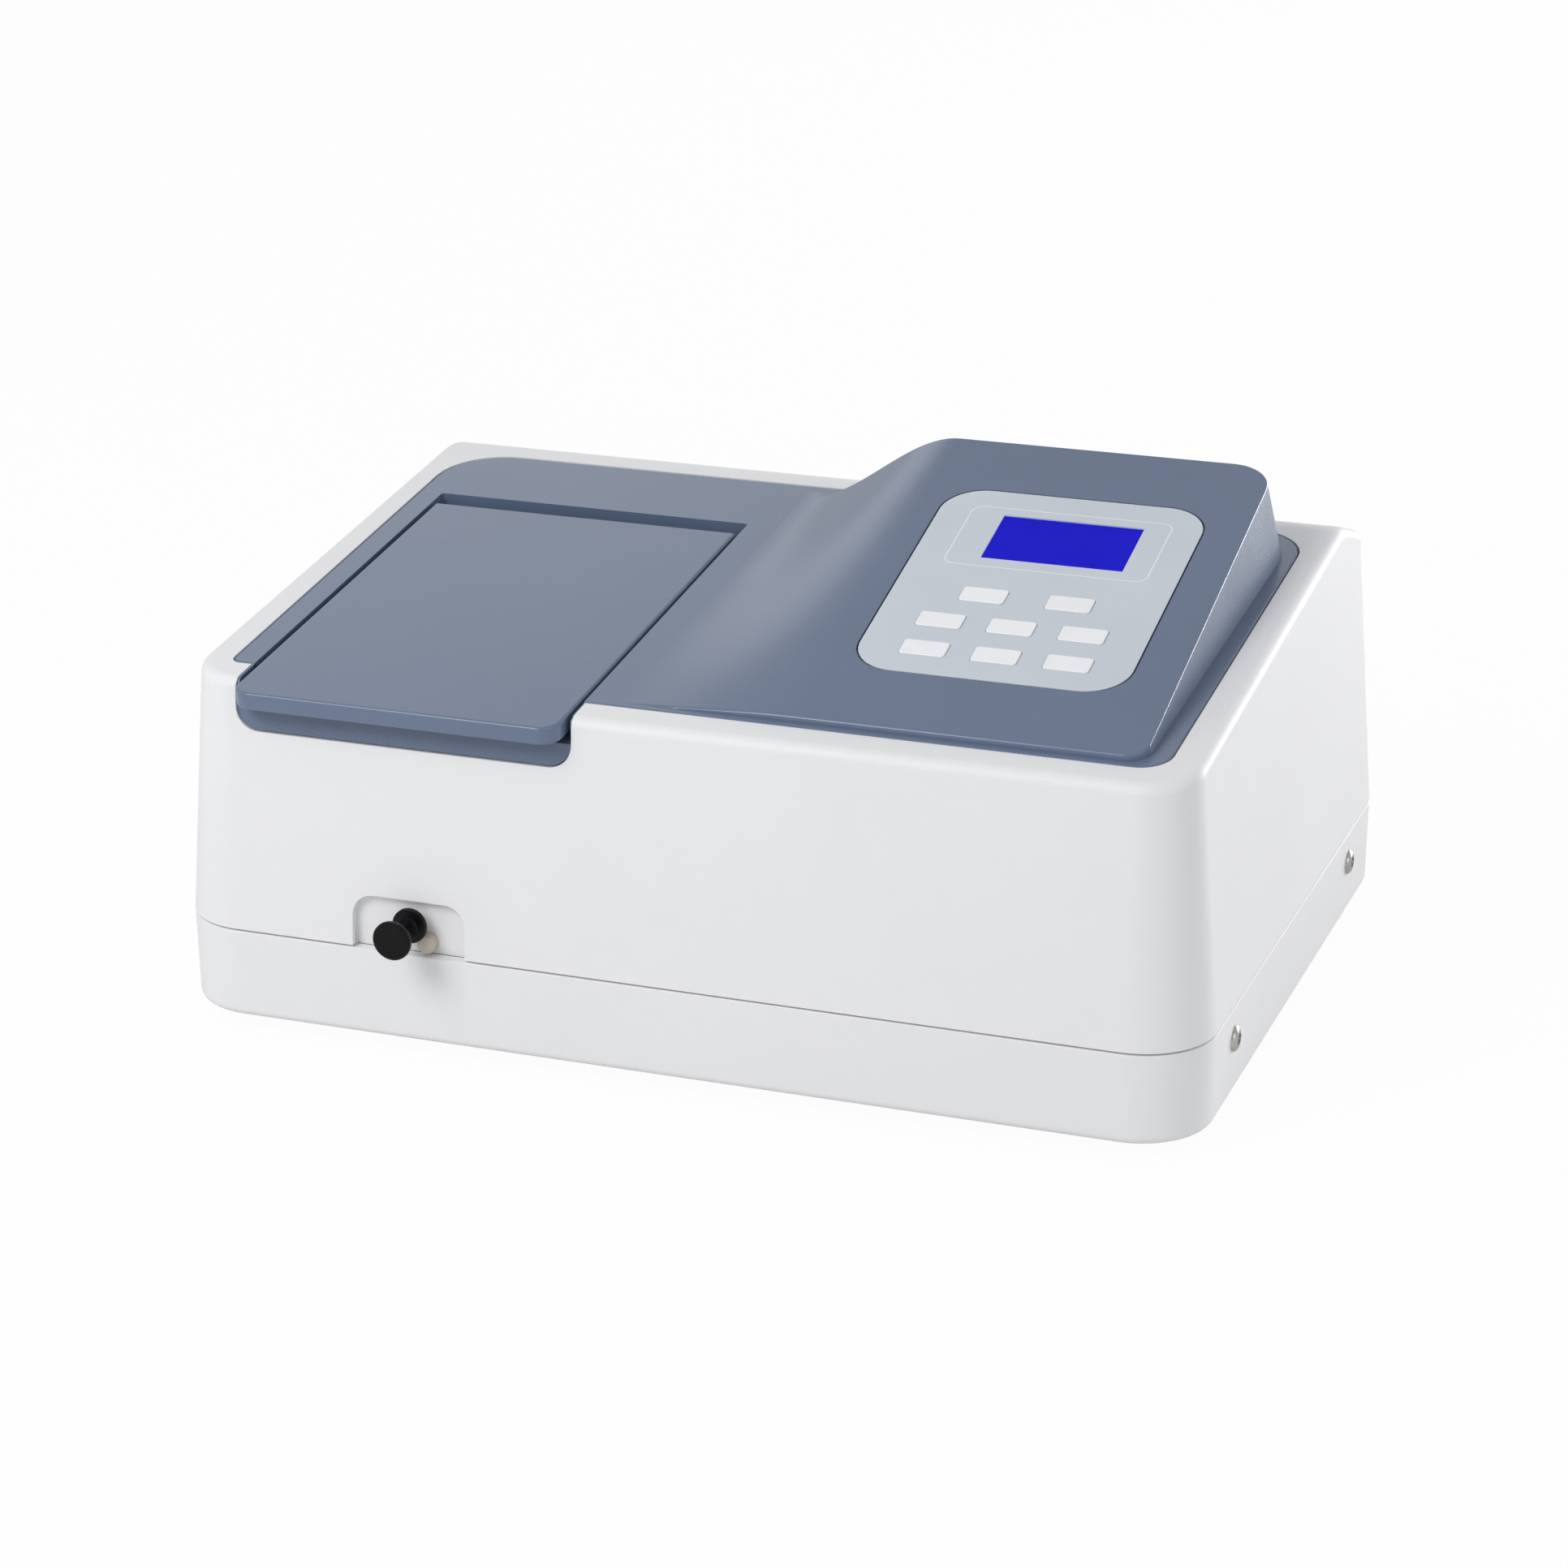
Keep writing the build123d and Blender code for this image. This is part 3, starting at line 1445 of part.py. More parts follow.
with BuildPart() as filter_motor:
    with BuildSketch(front_plane(motor_front)):
        with Locations((filter_x, beam_height)):
            Circle(filter_motor_radius)
    extrude(amount=-filter_motor_length)
    with BuildSketch(front_plane(motor_front)):
        with Locations((filter_x, beam_height)):
            Circle(fan_shaft)
    extrude(amount=motor_front - wheel_back + filter_wheel_thickness)
    with BuildSketch(front_plane(motor_front + bracket_inset)):
        with Locations((filter_x, bench_top)):
            Rectangle(
                2 * filter_motor_radius,
                beam_height - bench_top,
                align=(Align.CENTER, Align.MIN),
            )
    extrude(amount=2 * bracket_inset - filter_motor_length)
filter_motor.part.label = "filter_motor"
export_step(filter_motor.part, "parts/filter_motor.step")

# Lamp house: vented sheet box over the lamps, with a light hole in its front wall
lamp_right = mono_right
lamp_left = lamp_right - lamp_width
lamp_front = mono_back + lamp_from_mono
lamp_back = bench_back - lamp_from_bench
deuterium_y = lamp_back - deuterium_from_back
lamp_y = deuterium_y - lamps_apart
halogen_x = lamp_left + halogen_from_side
lamp_middle = ((lamp_left + lamp_right) / 2, (lamp_front + lamp_back) / 2)
with BuildPart() as lamp_house:
    with BuildSketch(base.offset(bench_top)):
        with Locations(lamp_middle):
            RectangleRounded(lamp_right - lamp_left, lamp_back - lamp_front, lamp_wall)
    extrude(amount=lamp_top - bench_top)
    with BuildSketch(base.offset(bench_top)):
        with Locations(lamp_middle):
            Rectangle(
                lamp_right - lamp_left - 2 * lamp_wall, lamp_back - lamp_front - 2 * lamp_wall
            )
    extrude(amount=lamp_top - bench_top - lamp_wall, mode=Mode.SUBTRACT)
    with BuildSketch(front_plane(lamp_front + 2 * lamp_wall)):
        with Locations((entrance_x, beam_height)):
            Circle(2 * light_hole)
    extrude(amount=3 * lamp_wall, mode=Mode.SUBTRACT)
    with BuildSketch(base.offset(lamp_top - 2 * lamp_wall)):
        with Locations(lamp_middle):
            with GridLocations(lamp_vent_pitch, 0, 6, 1):
                SlotOverall(
                    lamp_back - lamp_front - 2 * lamp_vent_inset, lamp_vent_width, rotation=90
                )
    extrude(amount=3 * lamp_wall, mode=Mode.SUBTRACT)
lamp_house.part.label = "lamp_house"
export_step(lamp_house.part, "parts/lamp_house.step")

with BuildPart() as halogen_lamp:
    with BuildSketch(base.offset(bench_top)):
        with Locations((halogen_x, lamp_y)):
            Circle(1.5 * halogen_radius)
    extrude(amount=lamp_base_height)
    with BuildSketch(base.offset(bench_top + lamp_base_height)):
        with Locations((halogen_x, lamp_y)):
            Circle(halogen_radius)
    extrude(amount=beam_height - bench_top)
    fillet(halogen_lamp.faces().sort_by(Axis.Z)[-1].edges(), 0.9 * halogen_radius)
halogen_lamp.part.label = "halogen_lamp"
export_step(halogen_lamp.part, "parts/halogen_lamp.step")

with BuildPart() as deuterium_lamp:
    with BuildSketch(base.offset(bench_top)):
        with Locations((entrance_x, deuterium_y)):
            Circle(1.25 * deuterium_radius)
    extrude(amount=lamp_base_height)
    with BuildSketch(base.offset(bench_top + lamp_base_height)):
        with Locations((entrance_x, deuterium_y)):
            Circle(deuterium_radius)
    extrude(amount=beam_height)
    fillet(deuterium_lamp.faces().sort_by(Axis.Z)[-1].edges(), 0.7 * deuterium_radius)
deuterium_lamp.part.label = "deuterium_lamp"
export_step(deuterium_lamp.part, "parts/deuterium_lamp.step")

# Mirror that chooses between the two lamps, on its motor
flip_top = bench_top + flip_motor_height
with BuildPart() as mirror_motor:
    with BuildSketch(base.offset(bench_top)):
        with Locations((entrance_x, lamp_y)):
            Circle(flip_motor_radius)
    extrude(amount=flip_motor_height)
    with BuildSketch(base.offset(flip_top)):
        with Locations((entrance_x, lamp_y)):
            Circle(shaft_radius)
    extrude(amount=shaft_length)
mirror_motor.part.label = "mirror_motor"
export_step(mirror_motor.part, "parts/mirror_motor.step")

with BuildPart() as lamp_mirror:
    with BuildSketch(base.offset(flip_top + moving_gap)):
        with Locations((entrance_x, lamp_y)):
            Circle(2 * shaft_radius)
            Circle(shaft_radius + running_gap, mode=Mode.SUBTRACT)
    extrude(amount=shaft_length)
    with BuildSketch(base.offset(flip_top + moving_gap + shaft_length)):
        with Locations((entrance_x, lamp_y)):
            Rectangle(flip_mirror, lamp_wall)
    extrude(amount=1.5 * flip_mirror)
lamp_mirror.part.label = "lamp_mirror"
export_step(lamp_mirror.part, "parts/lamp_mirror.step")

# Main board with its chips, connectors and capacitors
board_seat = tray_floor + board_lift
board_top = board_seat + board_sheet
board_edge = board_x + board_width / 2
with BuildPart() as main_board:
    with BuildSketch(base.offset(board_seat)):
        with Locations((board_x, main_board_y)):
            RectangleRounded(board_width, board_length, board_corner)
            with GridLocations(*board_holes, 2, 2):
                Circle(screw_radius / 2, mode=Mode.SUBTRACT)
    extrude(amount=board_sheet)
    with BuildSketch(base.offset(board_top)):
        with Locations((board_x - chip_width / 2, main_board_y + chip_width / 2)):
            Rectangle(chip_width, chip_width)
        with Locations((board_x - chip_width / 2, main_board_y - chip_width)):
            with GridLocations(1.5 * logic_width, 0, 2, 1):
                Rectangle(logic_width, logic_length)
    extrude(amount=board_sheet)
    with BuildSketch(base.offset(board_top)):
        with Locations((board_edge - connector_inset, main_board_y)):
            with GridLocations(0, connector_pitch, 1, 4):
                Rectangle(connector_width, connector_length)
        with Locations((board_x - tall_part, main_board_y + board_length / 2 - capacitor_pitch)):
            with GridLocations(capacitor_pitch, 0, 3, 1):
                Circle(capacitor_radius)
    extrude(amount=tall_part)
main_board.part.label = "main_board"
export_step(main_board.part, "parts/main_board.step")

# Power supply: capacitors, a line filter and a finned heat sink on their board
with BuildPart() as power_supply:
    with BuildSketch(base.offset(board_seat)):
        with Locations((board_x, power_board_y)):
            RectangleRounded(board_width, board_length, board_corner)
            with GridLocations(*board_holes, 2, 2):
                Circle(screw_radius / 2, mode=Mode.SUBTRACT)
    extrude(amount=board_sheet)
    with BuildSketch(base.offset(board_top)):
        with Locations((board_x - board_width / 4, power_board_y + board_length / 4)):
            Circle(bulk_capacitor_radius)
        with Locations((board_x + capacitor_radius, power_board_y + board_length / 3)):
            Rectangle(filter_coil_width, filter_coil_length)
        with Locations((board_x - board_width / 3, power_board_y - board_length / 3)):
            with GridLocations(capacitor_pitch, 0, 2, 1):
                Circle(capacitor_radius)
    extrude(amount=supply_height)
    with BuildSketch(base.offset(board_top)):
        with Locations((board_edge - connector_inset, power_board_y)):
            Rectangle(sink_thickness, (sink_fins - 1) * sink_fin_pitch + sink_fin_thickness)
            with GridLocations(0, sink_fin_pitch, 1, sink_fins):
                Rectangle(sink_fin, sink_fin_thickness)
    extrude(amount=sink_height)
power_supply.part.label = "power_supply"
export_step(power_supply.part, "parts/power_supply.step")

# Transformer: iron core standing on the board, with its coil round the middle
transformer_place = (board_x - tall_part, power_board_y - sink_thickness)
with BuildPart() as transformer:
    with BuildSketch(base.offset(board_top)):
        with Locations(transformer_place):
            Rectangle(transformer_core, transformer_core_length)
    extrude(amount=transformer_height)
    with BuildSketch(base.offset(board_top + (transformer_height - coil_height) / 2)):
        with Locations(transformer_place):
            RectangleRounded(coil_width, coil_length, coil_corner)
    extrude(amount=coil_height)
transformer.part.label = "transformer"
export_step(transformer.part, "parts/transformer.step")

# Rear panel: steel sheet against the inner face of the window's rim
fan_x = window_left + fan_from_window
inlet_x = window_right - inlet_from_window
port_x = window_right - port_from_window
screw_places = (window_size[0] + 2 * rear_screw_inset, window_size[1] + 2 * rear_screw_inset)
sheet_inner = rear_face - rear_sheet
with BuildPart() as rear_panel:
    with BuildSketch(front_plane(rear_face)):
        with Locations(window_middle):
            Rectangle(window_size[0] + 2 * window_rim, window_size[1] + 2 * window_rim)
            with GridLocations(*screw_places, 2, 2):
                Circle(screw_radius / 2 + running_gap, mode=Mode.SUBTRACT)
        with Locations((fan_x, fan_height)):
            Circle(fan_bore, mode=Mode.SUBTRACT)
        with Locations((inlet_x, inlet_height)):
            Rectangle(
                inlet_width + 2 * fitting_gap, inlet_length + 2 * fitting_gap, mode=Mode.SUBTRACT
            )
        with Locations((inlet_x, switch_height_up)):
            Rectangle(
                switch_width + 2 * fitting_gap, switch_length + 2 * fitting_gap, mode=Mode.SUBTRACT
            )
        with Locations((port_x, inlet_height)):
            Rectangle(
                port_width + 2 * fitting_gap, port_length + 2 * fitting_gap, mode=Mode.SUBTRACT
            )
        with Locations((port_x, switch_height_up)):
            Circle(fuse_radius + fitting_gap, mode=Mode.SUBTRACT)
        with Locations((fan_x - fan_size, fan_height)):
            with GridLocations(0, vent_pitch, 1, 7):
                SlotOverall(vent_length, vent_width, mode=Mode.SUBTRACT)
    extrude(amount=rear_sheet)
rear_panel.part.label = "rear_panel"
export_step(rear_panel.part, "parts/rear_panel.step")

with BuildPart() as panel_screws:
    with BuildSketch(front_plane(sheet_inner)):
        with Locations(window_middle):
            with GridLocations(*screw_places, 2, 2):
                Circle(screw_radius)
    extrude(amount=bezel)
    with BuildSketch(front_plane(sheet_inner)):
        with Locations(window_middle):
            with GridLocations(*screw_places, 2, 2):
                Circle(screw_radius / 2)
    extrude(amount=-rear_sheet - bezel)
panel_screws.part.label = "panel_screws"
export_step(panel_screws.part, "parts/panel_screws.step")

# Fan: square frame with a motor hub on three struts, its rotor, and a wire guard outside
fan_screws = fan_size - 2 * fan_hole_inset
with BuildPart() as fan_frame:
    with BuildSketch(front_plane(sheet_inner)):
        with Locations((fan_x, fan_height)):
            RectangleRounded(fan_size, fan_size, fan_corner)
            Circle(fan_bore, mode=Mode.SUBTRACT)
            with GridLocations(fan_screws, fan_screws, 2, 2):
                Circle(screw_radius, mode=Mode.SUBTRACT)
    extrude(amount=fan_depth)
    with BuildSketch(front_plane(sheet_inner - fan_depth + fan_strut)):
        with Locations((fan_x, fan_height)):
            Circle(fan_hub)
            with PolarLocations((fan_bore + fan_hub) / 2, 3):
                Rectangle(fan_bore - fan_hub + fan_strut, 2 * fan_strut)
    extrude(amount=fan_strut)
    with BuildSketch(front_plane(sheet_inner - fan_depth + fan_strut)):
        with Locations((fan_x, fan_height)):
            Circle(fan_shaft)
    extrude(amount=3 * fan_strut - fan_depth)
fan_frame.part.label = "fan_frame"
export_step(fan_frame.part, "parts/fan_frame.step")

with BuildPart() as fan_rotor:
    rotor_front = sheet_inner - fan_depth + fan_strut + fan_strut / 3
    rotor_length = fan_depth - 2 * fan_strut
    with BuildSketch(front_plane(rotor_front)):
        with Locations((fan_x, fan_height)):
            Circle(fan_hub)
            with PolarLocations((fan_tip + fan_hub - blade_thickness) / 2, fan_blades):
                Rectangle(fan_tip - fan_hub + blade_thickness, blade_thickness)
    extrude(amount=-rotor_length)
    with BuildSketch(front_plane(rotor_front)):
        with Locations((fan_x, fan_height)):
            Circle(fan_shaft + running_gap)
    extrude(amount=-rotor_length, mode=Mode.SUBTRACT)
fan_rotor.part.label = "fan_rotor"
export_step(fan_rotor.part, "parts/fan_rotor.step")

ring_step = (fan_bore - fan_hub) / 2.6
ring_radii = [fan_bore + wire - ring_step * n for n in range(4)]
eye_orbit = fan_screws / 2**0.5
with BuildPart() as fan_guard:
    with BuildSketch(front_plane(rear_face)):
        with Locations((fan_x, fan_height)):
            for radius in ring_radii:
                Circle(radius)
                Circle(radius - wire, mode=Mode.SUBTRACT)
            with PolarLocations((ring_radii[0] + ring_radii[-1]) / 2 - wire, 4, start_angle=45):
                Rectangle(ring_radii[0] - ring_radii[-1], wire)
            with GridLocations(fan_screws, fan_screws, 2, 2):
                Circle(eye_radius)
            with PolarLocations((ring_radii[0] + eye_orbit) / 2 - wire, 4, start_angle=45):
                Rectangle(eye_orbit - ring_radii[0], wire)
    extrude(amount=-wire)
fan_guard.part.label = "fan_guard"
export_step(fan_guard.part, "parts/fan_guard.step")

# Mains inlet: socket with three pins, its bezel outside the sheet
with BuildPart() as power_inlet:
    with BuildSketch(front_plane(rear_face)):
        with Locations((inlet_x, inlet_height)):
            RectangleRounded(inlet_width + 2 * bezel, inlet_length + 2 * bezel, bezel_corner)
    extrude(amount=-bezel)
    with BuildSketch(front_plane(rear_face)):
        with Locations((inlet_x, inlet_height)):
            Rectangle(inlet_width, inlet_length)
    extrude(amount=inlet_body)
    with BuildSketch(front_plane(rear_face + bezel)) as mouth:
        with Locations((inlet_x, inlet_height)):
            Rectangle(inlet_mouth_width, inlet_mouth_length)
        chamfer(mouth.vertices().group_by(Axis.Y)[-1], inlet_mouth_chamfer)
    extrude(amount=inlet_mouth_depth, mode=Mode.SUBTRACT)
    with BuildSketch(front_plane(rear_face + bezel - inlet_mouth_depth)):
        with Locations(
            (inlet_x, inlet_height + contact_width),
            (inlet_x - contact_spread, inlet_height - contact_width),
            (inlet_x + contact_spread, inlet_height - contact_width),
        ):
            Rectangle(contact_width, contact_length)
    extrude(amount=-0.7 * inlet_mouth_depth)
power_inlet.part.label = "power_inlet"
export_step(power_inlet.part, "parts/power_inlet.step")

# Power switch: frame with a pivot pin, and the rocker
with BuildPart() as switch_frame:
    with BuildSketch(front_plane(rear_face)):
        with Locations((inlet_x, switch_height_up)):
            RectangleRounded(switch_width + 2 * bezel, switch_length + 2 * bezel, bezel_corner)
    extrude(amount=-bezel)
    with BuildSketch(front_plane(rear_face)):
        with Locations((inlet_x, switch_height_up)):
            Rectangle(switch_width, switch_length)
    extrude(amount=0.8 * inlet_body)
    with BuildSketch(front_plane(rear_face + bezel)):
        with Locations((inlet_x, switch_height_up)):
            Rectangle(rocker_width + 2 * moving_gap, rocker_length + 2 * bezel)
    extrude(amount=0.6 * inlet_body, mode=Mode.SUBTRACT)
    with BuildSketch(side_plane(inlet_x - switch_width / 2)):
        with Locations((rear_face - rocker_pivot, switch_height_up)):
            Circle(rocker_pin)
    extrude(amount=switch_width)
switch_frame.part.label = "switch_frame"
export_step(switch_frame.part, "parts/switch_frame.step")

with BuildPart() as switch_rocker:
    with BuildSketch(side_plane(inlet_x - rocker_width / 2)):
        with Locations((rear_face - rocker_pivot, switch_height_up)):
            Polygon(
                (-rocker_depth, -rocker_length / 4),
                (rocker_shoulder, -rocker_length / 2),
                (rocker_rise, -rocker_length / 2),
                (rocker_hollow, 0),
                (rocker_rise, rocker_length / 2),
                (rocker_shoulder, rocker_length / 2),
                (-rocker_depth, rocker_length / 4),
                align=None,
            )
            Circle(rocker_pin + running_gap, mode=Mode.SUBTRACT)
    extrude(amount=rocker_width)
switch_rocker.part.label = "switch_rocker"
export_step(switch_rocker.part, "parts/switch_rocker.step")

# Serial port with its metal shell
with BuildPart() as data_port:
    with BuildSketch(front_plane(rear_face)):
        with Locations((port_x, inlet_height)):
            RectangleRounded(
                port_width + 2 * port_flange_side, port_length + 2 * port_flange_rise, bezel_corner
            )
    extrude(amount=-bezel / 2)
    with BuildSketch(front_plane(rear_face)):
        with Locations((port_x, inlet_height)):
            Rectangle(port_width, port_length)
    extrude(amount=inlet_body / 2)
    with BuildSketch(front_plane(rear_face)):
        with Locations((port_x, inlet_height)):
            RectangleRounded(port_width - port_shell, port_length - port_shell, small_round)
            RectangleRounded(
                port_width - 3 * port_shell,
                port_length - 3 * port_shell,
                small_round - port_shell,
                mode=Mode.SUBTRACT,
            )
    extrude(amount=-3 * bezel)
data_port.part.label = "data_port"
export_step(data_port.part, "parts/data_port.step")

# Fuse holder: flanged cap with a screwdriver slot
with BuildPart() as fuse_holder:
    for radius, length in (
        (fuse_radius + bezel, -bezel),
        (0.85 * fuse_radius, -4 * bezel),
        (fuse_radius, inlet_body),
    ):
        with BuildSketch(front_plane(rear_face)):
            with Locations((port_x, switch_height_up)):
                Circle(radius)
        extrude(amount=length)
    with BuildSketch(front_plane(rear_face + 4 * bezel)):
        with Locations((port_x, switch_height_up)):
            Rectangle(2 * fuse_radius, fuse_slot)
    extrude(amount=fuse_slot, mode=Mode.SUBTRACT)
fuse_holder.part.label = "fuse_holder"
export_step(fuse_holder.part, "parts/fuse_holder.step")
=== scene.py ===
from math import atan, cos, pi, radians, sin, tan

import bmesh
import bpy
from mathutils import Matrix, Vector


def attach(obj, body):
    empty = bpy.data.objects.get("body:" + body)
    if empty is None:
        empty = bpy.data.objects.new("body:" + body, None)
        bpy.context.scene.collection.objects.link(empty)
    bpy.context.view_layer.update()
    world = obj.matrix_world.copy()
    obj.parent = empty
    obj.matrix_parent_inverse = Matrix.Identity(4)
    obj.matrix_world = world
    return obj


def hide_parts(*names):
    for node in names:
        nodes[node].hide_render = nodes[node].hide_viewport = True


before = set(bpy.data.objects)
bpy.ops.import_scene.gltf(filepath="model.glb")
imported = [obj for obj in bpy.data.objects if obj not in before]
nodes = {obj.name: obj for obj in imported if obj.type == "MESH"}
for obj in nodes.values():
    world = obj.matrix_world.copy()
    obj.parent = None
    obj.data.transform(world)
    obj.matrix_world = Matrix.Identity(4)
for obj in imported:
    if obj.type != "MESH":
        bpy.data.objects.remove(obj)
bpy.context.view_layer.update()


# Upper case: one white ABS moulding with drafted walls and a top that slopes up to a ridge.
# It is 3 mm thick, open below, with a seat for the cover, a notch under the lid, a pocket
# for the pull knob and a framed window for the rear panel.
MM = 0.001
case_half = (240, 180)
case_corner = 33.5
case_wall = 3
case_middle, foot_height = 10.95, 8
parting_height, parting_gap = 42.6, 1
tray_top = parting_height - parting_gap / 2
case_low = parting_height + parting_gap / 2
shell_high = 205
front_height = 159.8
top_front = -171.2
wall_lean = atan((top_front + case_half[1]) / (front_height - parting_height))
slope = radians(6.06)
along = 1 / cos(slope)
ridge_y, ridge_radius = 117, 7.4
back_slope = radians(18.6)
rim_radius = 4.8
pocket_sides, pocket_floor, pocket_high = (-148.5, -94), -174.6, 67.5
window_sides, window_heights, window_border = (-70, 205), (52, 142), 5.5
cover_front, cover_back, cover_half = -154.5, 103.5, 215.5
cover_corners = ((-1, -1, 5), (1, -1, 14), (-1, 1, 31), (1, 1, 26))
cover_gap = 0.7
apron_sides, apron_low, apron_gap = (-204.5, -44.3), 137.1, 0.5


def top_height(y):
    """Height of the sloping top above the tray's underside, in millimetres."""
    return front_height + (y - top_front) * tan(slope)


# Two frames that pieces are drawn in: the case's middle on the tray's underside, and the
# sloping top, where y runs up the slope and z stands square to it.
BASE = Matrix.Translation(Vector((0, case_middle, foot_height)) * MM)
ON_TOP = Matrix.Translation((0, 0, top_height(0) * MM)) @ Matrix.Rotation(slope, 4, "X")


def span(half, centre=0):
    """Limits that lie half a width either side of a centre."""
    return centre - half, centre + half


def grown(limits, margin):
    """A pair of limits moved apart by a margin."""
    return limits[0] - margin, limits[1] + margin


def only(piece):
    """Selects one object alone and makes it active."""
    bpy.ops.object.select_all(action="DESELECT")
    piece.select_set(True)
    bpy.context.view_layer.objects.active = piece


def place(piece, matrix):
    """Moves a piece by a matrix and leaves its object at the origin."""
    only(piece)
    piece.matrix_world = matrix @ piece.matrix_world
    bpy.ops.object.transform_apply(location=True, rotation=True, scale=True)
    return piece


def block(name, x, y, z):
    """A box between pairs of limits in millimetres, ready to be shaped."""
    bpy.ops.object.select_all(action="DESELECT")
    bpy.ops.mesh.primitive_cube_add(size=1)
    piece = bpy.context.object
    piece.name = piece.data.name = name
    piece.location = [(low + high) / 2 * MM for low, high in (x, y, z)]
    piece.scale = [(high - low) * MM for low, high in (x, y, z)]
    return place(piece, Matrix.Identity(4))


def middle(part):
    """Middle of a vertex, edge or face, in millimetres."""
    corners = [part] if isinstance(part, bmesh.types.BMVert) else part.verts
    return sum((v.co for v in corners), Vector()) / len(corners) / MM


def direction(edge):
    """Unit direction of an edge, without its sign."""
    run = (edge.verts[1].co - edge.verts[0].co).normalized()
    return Vector(map(abs, run))


def pick(piece, kind, test):
    """Goes into edit mode and selects the vertices, edges or faces that pass a test."""
    only(piece)
    bpy.ops.object.mode_set(mode="EDIT")
    bpy.ops.mesh.select_mode(type=kind)
    bpy.ops.mesh.select_all(action="DESELECT")
    mesh = bmesh.from_edit_mesh(piece.data)
    for part in {"VERT": mesh.verts, "EDGE": mesh.edges, "FACE": mesh.faces}[kind]:
        if test(part):
            part.select_set(True)
    mesh.select_flush_mode()
    bmesh.update_edit_mesh(piece.data)


def leave():
    """Leaves edit mode."""
    bpy.ops.object.mode_set(mode="OBJECT")


def round_edges(piece, test, radius, segments=4):
    """Rounds the edges that pass a test."""
    pick(piece, "EDGE", test)
    bpy.ops.mesh.bevel(offset=radius * MM, segments=segments, profile=0.5)
    leave()
    return piece


def upright(edge):
    """True for an edge that stands straight up."""
    return direction(edge).z > 0.99


def fore_aft(edge):
    """True for an edge that runs from front to back."""
    return direction(edge).y > 0.99


def crosswise(edge):
    """True for an edge that runs from side to side."""
    return direction(edge).x > 0.99


def corner_at(x, y):
    """A test for the upright edge at a corner of the plan."""
    return lambda edge: upright(edge) and (middle(edge).xy - Vector((x, y))).length < 0.5


def cut(piece, point, normal, keep_low=True):
    """Cuts a piece with a plane: closed and trimmed above it, or only scored."""
    pick(piece, "FACE", lambda face: True)
    bpy.ops.mesh.bisect(
        plane_co=Vector(point) * MM, plane_no=normal, use_fill=keep_low, clear_outer=keep_low
    )
    leave()


def resize(piece, test, factor, centre):
    """Scales the vertices that pass a test about a point in millimetres."""
    pick(piece, "VERT", test)
    bpy.ops.transform.resize(value=factor, center_override=Vector(centre) * MM)
    leave()


def change(piece, kind, **settings):
    """Adds a modifier and applies it."""
    only(piece)
    modifier = piece.modifiers.new(kind.lower(), kind)
    for key, value in settings.items():
        setattr(modifier, key, value)
    bpy.ops.object.modifier_apply(modifier=modifier.name)


def carve(piece, tool, operation="DIFFERENCE"):
    """Cuts a tool out of a piece, or fuses it on, and drops the tool."""
    change(piece, "BOOLEAN", operation=operation, object=tool, solver="EXACT")
    bpy.data.objects.remove(tool)


class Wire:
    """A value in a material's nodes. Arithmetic on it adds Math nodes."""

    def __init__(self, tree, socket=None):
        self.tree, self.socket = tree, socket

    def node(self, kind, settings=None, out=0, **sockets):
        """Adds a node: its settings first, then its sockets' values or links (i0 is the first)."""
        made = self.tree.nodes.new("ShaderNode" + kind)
        for key, value in (settings or {}).items():
            if key == "stops":
                ramp = made.color_ramp
                for spare in list(ramp.elements)[1:]:
                    ramp.elements.remove(spare)
                ramp.elements[0].position, ramp.elements[0].color = value[0]
                for position, colour in value[1:]:
                    ramp.elements.new(position).color = colour
            else:
                setattr(made, key, value)
        for key, value in sockets.items():
            numbered = key[0] == "i" and key[1:].isdigit()
            socket = made.inputs[int(key[1:]) if numbered else key.replace("_", " ")]
            if isinstance(value, Wire):
                self.tree.links.new(value.socket, socket)
            else:
                socket.default_value = value
        return Wire(self.tree, made.outputs[out])

    def math(self, operation, *values):
        """A Math node on this value and others."""
        sockets = {f"i{n}": value for n, value in enumerate((self, *values))}
        return self.node("Math", {"operation": operation}, **sockets)

    def __add__(self, other):
        return self.math("ADD", other)

    def __sub__(self, other):
        return self.math("SUBTRACT", other)

    def __mul__(self, other):
        return self.math("MULTIPLY", other)

    def __gt__(self, other):
        return self.math("GREATER_THAN", other)

    def __lt__(self, other):
        return self.math("LESS_THAN", other)


def new_material(name):
    """An empty material, the start of its wires and its Principled shader."""
    material = bpy.data.materials.new(name)
    material.use_nodes = True
    return material, Wire(material.node_tree), material.node_tree.nodes["Principled BSDF"]


def linear(red, green, blue):
    """A colour of 0 to 255 steps as a shader takes it."""
    steps = [c / 255 for c in (red, green, blue)]
    return (*[((c + 0.055) / 1.055) ** 2.4 if c > 0.04045 else c / 12.92 for c in steps], 1)


def feed(material, shader, **links):
    """Links wires to the shader's own sockets and sets its constants."""
    for key, value in links.items():
        socket = shader.inputs[key.replace("_", " ")]
        if isinstance(value, Wire):
            material.node_tree.links.new(value.socket, socket)
        else:
            socket.default_value = value
    return material


def blend_colours(factor, low, high):
    """A mix of two colours by a factor."""
    return factor.node("Mix", {"data_type": "RGBA"}, out=2, i0=factor, i6=low, i7=high)


